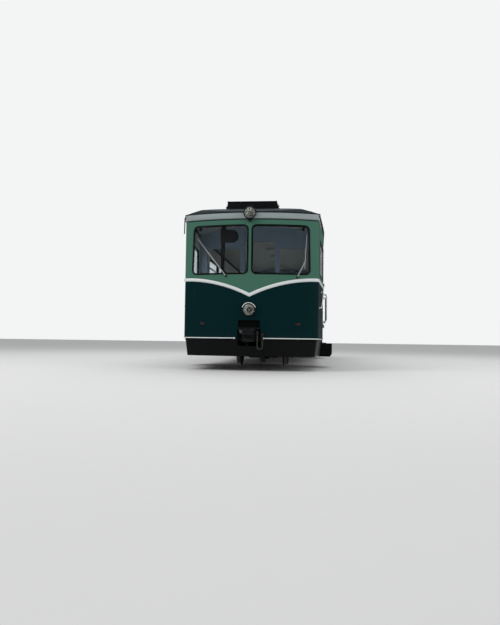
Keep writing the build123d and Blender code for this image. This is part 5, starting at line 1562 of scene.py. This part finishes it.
@dataclass
class SmallOutside(Assembly):
    """Rails, spouts, wipers, cornices, roof fittings and the fittings of the doors."""

    rail_feet: tuple[Flat, ...] = ((-3.875, 0.95), (-3.875, 1.52), (-2.865, 0.95), (-2.865, 1.52))
    seam_places: tuple[float, ...] = (-4.3, -2.77, -1.385, 0.0, 1.385, 2.77, 4.3)
    crown: float = 3.035
    arch: float = 4.8958

    def build(self) -> None:
        """Dresses the solids and adds feet, screws, wipers and cornices."""
        looks = self.finishes
        chrome, dark = looks.chrome, looks.roof_black
        self.dress(["grab_rails"], chrome)
        self.dress(["rain_spouts", "roof_boxes"], dark)
        self.place(self.wipers(), "wiper_arms", "black_paint", [looks.wiper, looks.rubber, looks.iron],
                   replaced=["wipers"], bevel=0.0012)
        self.place(self.rosettes(), "rail_rosettes", "chrome", [chrome, looks.steel])
        # The cornice's light grey is partly a painted reflection of the sky.
        self.place(self.cornice(), "cornice_mouldings", "cornice_paint", [looks.cornice, dark],
                   replaced=["front_cornices"], smooth_angle=50)
        self.place(self.roof_seams(), "roof_seams", "roof_paint", [looks.roof, dark])
        self.place(self.box_fittings(), "roof_box_fittings", "black_paint", [looks.iron])
        for door in DOORS:
            self.place(self.door_fittings(door), f"door_fittings_{door}", "chrome", [chrome, looks.rubber],
                       f"door_{door}")

    def wipers(self) -> Shape:
        """Both wipers of each end: boss, sprung arm, holder and rubber."""
        shape = Shape()
        rows = (
            # boss, end of the arm, both ends of the holder
            ((-0.44, 1.706), (-0.955, 2.363), (-0.56, 1.862), (-1.0, 2.42)),
            ((0.866, 1.694), (1.002, 1.98), (0.996, 1.85), (1.03, 2.48)),
        )
        for pivot, end, low, high in rows:
            self.add_bar(shape, pivot, end, (0.015, 0.009), (0.02, 0.027))
            self.add_bar(shape, low, high, (0.009, 0.007), (0.011, 0.018))
            self.add_bar(shape, low, high, (0.006, 0.005), (-0.008, 0.012), 1)
            for share in (0.2, 0.8):
                place = Vector(low).lerp(Vector(high), share)
                near = Vector(end).lerp(place, 0.35)
                self.add_bar(shape, near, place, (0.01, 0.008), (0.016, 0.021))
            boss = [(0, 0), (0, 0.024), (-0.006, 0.024), (-0.01, 0.016), (-0.026, 0.014), (-0.03, 0.008), (-0.031, 0)]
            shape.lathe(boss, (pivot[0], front_y(pivot[0]), pivot[1]), "Y", 24, 2)
        return shape.both_ends()

    @staticmethod
    def add_bar(
        shape: Shape, start: Sequence[float], end: Sequence[float], widths: Flat, stands: Flat, paint: int = 0
    ) -> None:
        """Adds a tapered flat bar over the bowed front.

        Args:
            shape: gets the bar.
            start: x and height above the rail where it starts.
            end: the same where it ends.
            widths: its widths there.
            stands: distances of its inner and outer side from the front.
            paint: finish number.
        """
        across = Vector((end[1] - start[1], start[0] - end[0])).normalized()
        low, high = stands
        rings = []
        for share in (step / 8 for step in range(9)):
            middle = Vector(start).lerp(Vector(end), share)
            half = (widths[0] + share * (widths[1] - widths[0])) / 2
            ring = []
            for way, stand in ((-half, low), (-half, high), (half, high), (half, low)):
                x, height = middle + across * way
                ring.append((x, front_y(x, stand), height))
            rings.append(ring)
        shape.rings(rings, paint)

    def rosettes(self) -> Shape:
        """Round feet with screws under every grab rail."""
        shape = Shape()
        feet = [(SIDE_X, y, height, 0.028) for y, height in self.rail_feet]
        feet += [(1.2724, -5.23, 1.165, 0.022), (1.3155, -4.58, 1.51, 0.022)]
        for x, y, height, radius in feet:
            profile = [(-0.004, radius), (0.003, radius), (0.006, radius - 0.004), (0.007, radius * 0.62),
                       (0.012, radius * 0.56)]
            shape.lathe(profile, (x, y, height), "X", 24)
            for turn in (0.5, 2.6, 4.7):
                place = (x + 0.005, y + radius * 0.78 * cos(turn), height + radius * 0.78 * sin(turn))
                shape.lathe([(0, 0.0034), (0.002, 0.003), (0.0026, 0)], place, "X", 8, 1)
        return shape.both_sides().both_ends()

    def cornice(self) -> Shape:
        """Moulded cornice of each end with a dark bead along its top."""
        low, high = 2.762, 2.882
        section = [(-0.04, low), (0.008, low), (0.014, low + 0.004), (0.0185, low + 0.014), (0.021, low + 0.045),
                   (0.0205, low + 0.08), (0.018, high - 0.017), (-0.04, high - 0.017)]
        bead = [(0.017, high - 0.018), (0.023, high - 0.016), (0.027, high - 0.01), (0.027, high - 0.005),
                (0.022, high), (0.01, high + 0.002), (-0.04, high), (-0.04, high - 0.018)]
        line = [(place, way) for place, way in plan_line(-5.5) if place.y < -5.5]
        last, way = line[-1]
        share = (last.y + 5.502) / (last.y + TAPER_Y)
        line.append((last.lerp(Vector((SIDE_X, -TAPER_Y, 0)), share), way))
        shape = Shape()
        for paint, outline in enumerate((section, bead)):
            shape.sweep(outline, [(place, way, UP) for place, way in line], paint)
        return shape.both_sides().both_ends()

    def roof_height(self, x: float) -> float:
        """Height of the roof's surface above the rail, away from its shoulders."""
        return self.crown - self.arch + sqrt(self.arch**2 - x**2)

    def roof_seams(self) -> Shape:
        """Raised seams across the roof, drip rails over the doors and the collector's cable."""
        shape = Shape()
        for y in self.seam_places:
            frames = []
            for x in (2.54 * number / 32 - 1.27 for number in range(33)):
                up = Vector((x / self.arch, 0, 1)).normalized()
                frames.append((Vector((x, y, self.roof_height(x))), Vector((0, 1, 0)), up))
            shape.sweep([(-0.016, -0.001), (-0.012, 0.004), (0.012, 0.004), (0.016, -0.001)], frames)
        gutter = [(-0.001, -0.006), (0.012, -0.006), (0.014, 0.006), (0.01, 0.008), (0.008, -0.001), (-0.001, -0.001)]
        for side, end in QUARTERS:
            way = Vector((side, 0, 0))
            shape.sweep(gutter, [(Vector((side * SIDE_X, end * y, 2.655)), way, UP) for y in (2.9, 3.84)])
        x = 0.2
        top = self.roof_height(x)
        path = [(x, -2.955, 3.15), (x, -2.87, 3.14), (x, -2.8, top + 0.035), (x, -2.6, top + 0.022),
                (x, -2.2, top + 0.018), (x, -2.02, top + 0.026), (x, -1.95, top + 0.05)]
        shape.tube(rounded_path(path, 0.05), 0.012, 10, 1)
        shape.lathe([(-0.01, 0.075), (0.006, 0.075), (0.012, 0.06), (0.05, 0.045), (0.085, 0.03), (0.09, 0)],
                    (x, -1.94, top), "Z", 24, 1)
        for y in (-2.64, -2.35, -2.12):
            shape.box((x - 0.022, y - 0.01, top - 0.004), (x + 0.022, y + 0.01, top + 0.033), 1)
        return shape

    def box_fittings(self) -> Shape:
        """Rivets along the roof boxes' lids, bolts on their feet and handles at their ends."""
        shape = Shape()
        for number in range(13):
            place = (0.07 * number - 0.42, -5.532, 3.136)
            shape.lathe([(0, 0.006), (-0.003, 0.004), (-0.0035, 0)], place, "Y", 8)
        corners = ((0.465, -5.38), (0.49, -5.38), (0.49, -5.24), (0.465, -5.24))
        for side in BOTH:
            shape.bolts([(side * 0.482, y, 3.055) for y in (-5.46, -5.16)], "Z", 0.01, 0.008)
            shape.tube(rounded_path([(side * x, y, 3.1) for x, y in corners], 0.012), 0.006, 8)
        return shape.both_ends()

    def door_fittings(self, door: str) -> Shape:
        """Key plate under the handle and hinge screws of one door.

        Args:
            door: the door's end and side.

        Returns:
            The shape.
        """
        shape = Shape()
        lock = (SIDE_X, -3.039, 1.405)
        shape.lathe([(-0.001, 0.018), (0.003, 0.018), (0.005, 0.014), (0.005, 0.005)], lock, "X", 20)
        shape.lathe([(0.002, 0.005), (0.002, 0)], lock, "X", 12, 1)
        for height in (0.851, 1.725):
            for y in (-3.768, -3.756):
                shape.lathe([(0, 0.0035), (0.0015, 0.003), (0.002, 0)], (SIDE_X + 0.003, y, height), "X", 8)
        if door.endswith("left"):
            shape = shape.mirrored()
        return shape.moved(Matrix.Scale(-1, 4, (0, 1, 0))) if door.startswith("b") else shape


@dataclass
class Stuffing:
    """Makes the crowned form of a cushion by letting a thin skin swell.

    Attributes:
        size: length, depth and height of the finished cushion.
        voxel: edge of its mesh.
        limit: how far a point may move.
        channels: places along its length that are sewn down.
    """

    size: Point
    voxel: float
    limit: float
    channels: Sequence[float]

    def skin(self) -> bpy.types.Object:
        """A slightly smaller rounded block with an even mesh."""
        work = bmesh.new()
        bmesh.ops.create_cube(work, size=1.0)
        inner = [edge - 1.3 * self.limit for edge in self.size]
        bmesh.ops.scale(work, vec=inner, verts=work.verts)
        bmesh.ops.bevel(work, geom=work.edges, offset=min(inner) * 0.28, segments=3, affect="EDGES", profile=0.6)
        mesh = bpy.data.meshes.new("skin")
        work.to_mesh(mesh)
        work.free()
        block = linked("skin", mesh)
        even = block.modifiers.new("even", "REMESH")
        even.mode = "VOXEL"
        even.voxel_size = self.voxel
        result = bpy.data.meshes.new_from_object(block.evaluated_get(bpy.context.evaluated_depsgraph_get()))
        block.modifiers.clear()
        block.data = result
        return block

    def swollen(self, block: bpy.types.Object) -> list[Vector]:
        """Lets the skin swell as cloth under pressure.

        Args:
            block: the skin.

        Returns:
            The places of its points afterwards.
        """
        before = [vertex.co.copy() for vertex in block.data.vertices]
        cloth = block.modifiers.new("swell", "CLOTH")
        cloth.settings.quality = 5
        cloth.settings.use_pressure = True
        cloth.settings.uniform_pressure_force = 4.0
        cloth.settings.effector_weights.gravity = 0.0
        cloth.point_cache.frame_start, cloth.point_cache.frame_end = 1, 20
        for frame in range(1, 21):
            bpy.context.scene.frame_set(frame)
        shown = block.evaluated_get(bpy.context.evaluated_depsgraph_get()).to_mesh()
        after = []
        for old, vertex in zip(before, shown.vertices):
            move = vertex.co - old
            if move.length > self.limit:
                move = move.normalized() * self.limit
            after.append(old + move)
        block.modifiers.clear()
        bpy.context.scene.frame_set(1)
        return after

    def shape(self) -> Shape:
        """The cushion with its sewn channels and piping, its middle at the origin."""
        block = self.skin()
        places = self.swollen(block)
        half = [edge / 2 for edge in self.size]
        for place in places:
            for channel in self.channels:
                pull = exp(-(((place.x - channel) / (self.voxel * 1.1)) ** 2))
                place.z -= copysign(min(0.011 * pull, abs(place.z)), place.z)
            for axis in range(3):
                place[axis] = max(-half[axis], min(half[axis], place[axis]))
        made = Shape()
        faces = [list(face.vertices) for face in block.data.polygons]
        made.add(places, faces)
        tree = BVHTree.FromPolygons(places, faces)
        mesh = block.data
        bpy.data.objects.remove(block)
        bpy.data.meshes.remove(mesh)
        for level in BOTH:
            made.tube(self.seam(tree, level), 0.0038, 8, closed=True)
        return made

    def seam(self, tree: BVHTree, level: int) -> list[Vector]:
        """Where the piping runs.

        Args:
            tree: the cushion's surface.
            level: 1 for the upper edge, -1 for the lower one.

        Returns:
            Places on the surface.
        """
        length, depth, height = [edge / 2 for edge in self.size]
        corner = min(length, depth) * 0.12
        outline = []
        for turn, (x, y) in enumerate(((1, 1), (-1, 1), (-1, -1), (1, -1))):
            outline += arc((x * (length - corner), y * (depth - corner)), corner, 90 * turn, 90 * turn + 90, 5)
        result = []
        for here, there in zip(outline, outline[1:] + outline[:1]):
            steps = max(1, round(dist(here, there) / 0.03))
            for step in range(steps):
                point = Vector(here).lerp(Vector(there), step / steps).to_3d() + UP * level * height
                result.append(tree.find_nearest(point)[0])
        return result


@dataclass
class Upholstery(Assembly):
    """Saloon benches and drivers' seats: frames, panels and stuffed cushions."""

    low_x: float = 0.33
    high_x: float = 1.295
    starts: tuple[float, ...] = (-2.69, -1.305, 0.08, 1.465)
    seat_size: Point = (0.945, 0.372, 0.104)
    back_size: Point = (0.945, 0.455, 0.05)
    cab_size: Point = (0.43, 0.41, 0.088)
    cab_back_size: Point = (0.41, 0.5, 0.066)
    cab_x: float = 0.45
    cab_y: float = -4.48

    def build(self) -> None:
        """Makes frames and cushions in place of the plain seats."""
        looks = self.finishes
        self.place(self.frames(), "bench_frames", "seat_cover", [looks.desk, looks.veneer, looks.chrome],
                   replaced=["saloon_benches"], bevel=0.002)
        self.place(self.pedestals(), "seat_pedestals", "seat_cover", [looks.iron, looks.steel],
                   replaced=["driver_seats"])
        bench = Stuffing(self.seat_size, 0.017, 0.007, (0,)).shape()
        back = Stuffing(self.back_size, 0.017, 0.005, (-0.236, 0, 0.236)).shape()
        upright = Matrix.Rotation(pi / 2, 4, "X")
        seats, backs = Shape(), Shape()
        middle = (self.low_x + self.high_x) / 2
        for front, rear, way in self.places():
            y = front + way * (0.004 + self.seat_size[1] / 2)
            lean = Matrix.Rotation(radians(4.5) * -way, 4, "X")
            seats.merge(bench.moved(Matrix.Translation((middle, y, 1.174))))
            backs.merge(back.moved(Matrix.Translation((middle, rear - way * 0.052, 1.472)) @ lean @ upright))
        cab = Stuffing(self.cab_size, 0.012, 0.008, ()).shape()
        cab_back = Stuffing(self.cab_back_size, 0.012, 0.008, (0,)).shape()
        both = cab.moved(Matrix.Translation((self.cab_x, self.cab_y, 1.275)))
        both.merge(cab_back.moved(Matrix.Translation((self.cab_x, -4.235, 1.5)) @ upright))
        for shape, name, fill in (
            (seats.both_sides(), "bench_cushions", 0.8), (backs.both_sides(), "bench_backs", 0.7),
            (both.both_ends(), "cab_cushions", 0.85),
        ):
            self.place(shape, name, "seat_cover", [looks.seat], smooth_angle=60)

    def places(self) -> Iterable[Point]:
        """Front and back places of each bench row, and which way its back lies."""
        for start in self.starts:
            low, high = start - 0.074, start + 1.299
            yield low + 0.47, low, -1.0
            yield high - 0.47, high, 1.0

    def frames(self) -> Shape:
        """Kick plates, cheeks, boards, back panels and top rails."""
        shape = Shape()
        low, high = self.low_x, self.high_x
        for front, back, way in self.places():
            parts = (
                # both ends along Y, both heights, finish
                (front + way * 0.072, front + way * 0.086, 0.802, 1.105, 0),
                (front + way * 0.004, back - way * 0.012, 1.104, 1.12, 0),
                (back - way * 0.014, back - way * 0.004, 0.802, 1.728, 1),
            )
            for near, far, bottom, top, paint in parts:
                shape.box((low + 0.014, near, bottom), (high - 0.004, far, top), paint)
            outline = [(front + way * 0.074, 0.802), (front + way * 0.074, 1.098), (front + way * 0.006, 1.132),
                       (front + way * 0.006, 1.15), (back - way * 0.1, 1.16), (back - way * 0.06, 1.722),
                       (back - way * 0.004, 1.722), (back - way * 0.004, 0.802)]
            shape.prism(outline, "YZ", low + 0.001, low + 0.013, 1)
            y, z = back - way * 0.032, 1.714
            shape.tube([(low + 0.012, y, z), (high - 0.006, y, z)], 0.011, 12, 2)
        return shape.both_sides()

    def pedestals(self) -> Shape:
        """Foot, post, plate and back bars of the drivers' seats."""
        shape = Shape()
        x, y = self.cab_x, self.cab_y
        foot = [(0, 0), (0, 0.16), (0.012, 0.16), (0.02, 0.15), (0.026, 0.06), (0.05, 0.045), (0.09, 0.035),
                (0.24, 0.034), (0.241, 0.026), (0.4, 0.026), (0.405, 0.07), (0.412, 0.07), (0.412, 0)]
        shape.lathe(foot, (x, y, 0.802), "Z", 32)
        shape.bolts([(x + 0.13 * cos(a), y + 0.13 * sin(a), 0.82) for a in (0.8, 2.4, 3.9, 5.5)], "Z", 0.01, 0.009, 1)
        shape.box((x - 0.17, y - 0.16, 1.213), (x + 0.17, y + 0.18, 1.226))
        for low in (x - 0.146, x + 0.114):
            shape.box((low, y + 0.17, 1.216), (low + 0.032, y + 0.278, 1.224))
            shape.box((low, y + 0.272, 1.216), (low + 0.032, y + 0.279, 1.6))
        return shape.both_ends()


@dataclass
class Inside(Assembly):
    """What shows through the glass: partitions, desks with their controls, blinds, lamps and poles."""

    blind_y: float = -5.56

    def build(self) -> None:
        """Dresses the inside and adds what stands on the desks."""
        looks = self.finishes
        self.dress(["cab_partitions"], looks.partition)
        self.dress(["control_desks"], looks.desk)
        self.place(self.blinds(), "sun_blind_boards", "black_paint", [looks.blind], replaced=["sun_blinds"],
                   bevel=0.002)
        self.place(self.controls(), "desk_controls", "desk_paint",
                   [looks.lamp, looks.steel, looks.dial, looks.iron], bevel=0.0015)
        self.place(self.brackets(), "screen_brackets", "black_paint", [looks.roof_black])
        self.place(self.ceiling(), "ceiling_lamps", "chrome", [looks.dial, looks.steel])

    def controls(self) -> Shape:
        """Controller, brake valve, gauges and switches on each desk."""
        shape = Shape()
        x, y, valve_x = 0.26, -5.42, 0.72
        rows = (
            # profile, place, sides, finish
            ([(0, 0.115), (0.035, 0.115), (0.045, 0.105), (0.05, 0.03), (0.075, 0.026), (0.09, 0.02),
              (0.092, 0)], (x, y, 1.6), 32, 0),
            ([(0, 0.012), (0.012, 0.019), (0.03, 0.019), (0.04, 0.01), (0.042, 0)],
             (x + 0.135, y + 0.07, 1.735), 16, 3),
            ([(0, 0.05), (0.02, 0.05), (0.025, 0.034), (0.08, 0.034), (0.09, 0.02), (0.11, 0.018), (0.112, 0)],
             (valve_x, y, 1.6), 24, 1),
        )
        for profile, place, sides, paint in rows:
            shape.lathe(profile, place, "Z", sides, paint)
        crank = [(x, y, 1.685), (x + 0.1, y + 0.05, 1.688), (x + 0.135, y + 0.07, 1.7), (x + 0.135, y + 0.07, 1.745)]
        shape.tube(rounded_path(crank, 0.02), 0.009, 12, 1)
        shape.tube([(valve_x, y, 1.695), (valve_x - 0.06, y + 0.09, 1.7)], 0.008, 10, 3)
        outline = [(-5.55, 1.6), (-5.55, 1.7), (-5.52, 1.72), (-5.47, 1.72), (-5.455, 1.6)]
        shape.prism(outline, "YZ", 0.36, 0.66)
        for dial in (0.415, 0.51, 0.605):
            place = (dial, -5.464, 1.662)
            shape.lathe([(-0.01, 0.04), (0.004, 0.04), (0.006, 0.034), (0.002, 0.032)], place, "Y", 28, 1)
            shape.lathe([(0.002, 0.033), (0.002, 0)], place, "Y", 28, 2)
            shape.box((dial - 0.0015, -5.462, 1.655), (dial + 0.0015, -5.46, 1.688), 3)
        knob = [(0, 0.012), (0.008, 0.012), (0.01, 0.005), (0.028, 0.004), (0.034, 0.006), (0.036, 0)]
        for number in range(7):
            shape.lathe(knob, (0.075 * number - 0.42, -5.22, 1.578), "Z", 12, number % 2 * 2 + 1)
        return shape.both_ends()

    def blinds(self) -> Shape:
        """Board with a round end, its bracket and the tapered channel that carries both."""
        shape = Shape()
        low, high, end = 2.352, 2.596, -0.24
        reach = (high - low) / 2
        board = [(-0.545, low), *arc((end - reach, low + reach), reach, -90, 90, 20), (-0.545, high)]
        channel = [(-0.56, 1.6), (-0.507, 1.6), (-0.494, 2.4), (-0.494, 2.944), (-0.566, 2.944), (-0.572, 2.4)]
        bracket = [(-0.58, 2.404), (-0.5, 2.404), (-0.466, 2.435), (-0.46, 2.6), (-0.478, 2.622), (-0.58, 2.622)]
        for outline, half in ((board, 0.006), (channel, 0.016), (bracket, 0.021)):
            shape.prism(outline, "XZ", self.blind_y - half, self.blind_y + half)
        return shape.both_ends()

    def brackets(self) -> Shape:
        """Small round gussets inside the windscreens' upper outer corners."""
        shape = Shape()
        for x, height in ((-0.955, 2.588), (0.962, 2.584)):
            shape.lathe([(0, 0), (0, 0.028), (0.006, 0.034), (0.02, 0.034), (0.022, 0)],
                        (x, front_y(x) + 0.022, height), "Y", 20)
        return shape.both_ends()

    def ceiling(self) -> Shape:
        """Round lamps under the ceiling and a pole beside each doorway."""
        shape = Shape()
        for y in (-4.6, -3.3, -1.98, -0.66, 0.66, 1.98, 3.3, 4.6):
            top = (0, y, 2.994)
            shape.lathe([(0, 0.145), (-0.018, 0.145), (-0.02, 0.138), (-0.02, 0.13)], top, "Z", 32, 1)
            shape.lathe([(-0.018, 0.132), (-0.034, 0.12), (-0.048, 0.08), (-0.054, 0)], top, "Z", 32)
        for side, end in QUARTERS:
            shape.tube([(side * 0.37, end * 3.72, height) for height in (0.8, 2.975)], 0.016, 14, 1)
        return shape


@dataclass
class Collector(Assembly):
    """Roof collector with its insulators, springs, strips and bolts."""

    middle_y: float = -3.26
    pivot: float = 3.235
    spring: float = 3.1525

    def build(self) -> None:
        """Dresses the collector and adds its small pieces."""
        looks = self.finishes
        self.dress(["lower_arm_front", "lower_arm_rear", "upper_arm_front", "upper_arm_rear", "collector_head"],
                   looks.collector)
        self.dress(["collector_base"], looks.collector, looks.porcelain, looks.iron)
        self.sort("collector_base", self.base_paint)
        self.place(self.small_pieces(), "collector_fittings", "collector_paint",
                   [looks.iron, looks.steel, looks.copper])
        self.place(self.strips(), "contact_strips", "collector_paint", [looks.carbon, looks.steel],
                   "collector_head", bevel=0.002)

    def base_paint(self, face: Face) -> int:
        """Finish of a face of the base: paint, porcelain of the insulators or iron of the springs.

        Args:
            face: a face of the base.

        Returns:
            The finish number.
        """
        x, y, z = face.center
        y = abs(y - self.middle_y)
        if z < rail(3.1295) and hypot(abs(x) - 0.33, y - 0.305) < 0.047:
            return 1
        return 2 if abs(abs(x) - 0.15) < 0.03 and y < 0.191 and abs(z - rail(self.spring)) < 0.03 else 0

    def small_pieces(self) -> Shape:
        """Spring coils, bearing caps and bolts of the base, and its copper braid."""
        shape = Shape()
        middle, spring = self.middle_y, self.spring
        turns, steps = 17, 14
        for x in (-0.15, 0.15):
            coil = []
            for step in range(turns * steps + 1):
                angle = tau * step / steps
                coil.append((x + 0.0265 * cos(angle), middle - 0.185 + 0.37 * step / (turns * steps),
                             spring + 0.0265 * sin(angle)))
            shape.tube(coil, 0.0048, 6)
            for y in (middle - 0.255, middle + 0.255):
                shape.lathe([(-0.008, 0), (-0.008, 0.016), (0.008, 0.016), (0.008, 0)], (x, y, spring), "Y", 6, 1)
        for side, way in QUARTERS:
            y = middle + way * 0.14
            shape.lathe([(0, 0.024), (side * 0.006, 0.024), (side * 0.01, 0.018), (side * 0.01, 0)],
                        (side * 0.442, y, self.pivot), "X", 20, 1)
            shape.bolts([(side * 0.33 + dx, middle + way * 0.305, 3.175) for dx in (-0.03, 0.03)], "Z", 0.009,
                        0.008, 1)
            shape.bolts([(side * 0.442, y + dy, 3.188) for dy in (-0.018, 0.018)], "X", 0.006, side * 0.005, 1)
        braid = [(0.42, middle + 0.22, 3.178), (0.36, middle + 0.24, 3.2),
                 (0.28, middle + 0.26, 3.195), (0.22, middle + 0.29, 3.178)]
        shape.tube(rounded_path(braid, 0.03), 0.006, 8, 2)
        return shape

    def strips(self) -> Shape:
        """Carbon strips on the head with their end clips."""
        shape = Shape()
        top = 3.5106
        for y in (self.middle_y - 0.14, self.middle_y + 0.14):
            outline = [(y - 0.02, top - 0.001), (y - 0.017, top + 0.007), (y + 0.017, top + 0.007),
                       (y + 0.02, top - 0.001)]
            shape.prism(outline, "YZ", -0.325, 0.325)
            for x in (-0.3, -0.1, 0.1, 0.3):
                shape.box((x - 0.012, y - 0.0325, top - 0.03), (x + 0.012, y + 0.0325, top - 0.018), 1)
        return shape


def main() -> None:
    """Builds the stage and every sub-assembly in order."""
    logging.basicConfig(level=logging.INFO, format="%(name)s: %(message)s")
    bpy.context.scene.view_settings.view_transform = "Standard"
    Stage().build()
    finishes = Finishes()
    for kind in (BodyShell, Mouldings, Glazing, Headlamps, TailLamps, Wheelsets, Running, SmallOutside, Upholstery,
                 Inside, Collector):
        assembly = kind(finishes)
        assembly.build()
        for piece in assembly.made:
            LOG.info("%s: %s", kind.__name__, piece)
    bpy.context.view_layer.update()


if __name__ == "__main__":
    main()
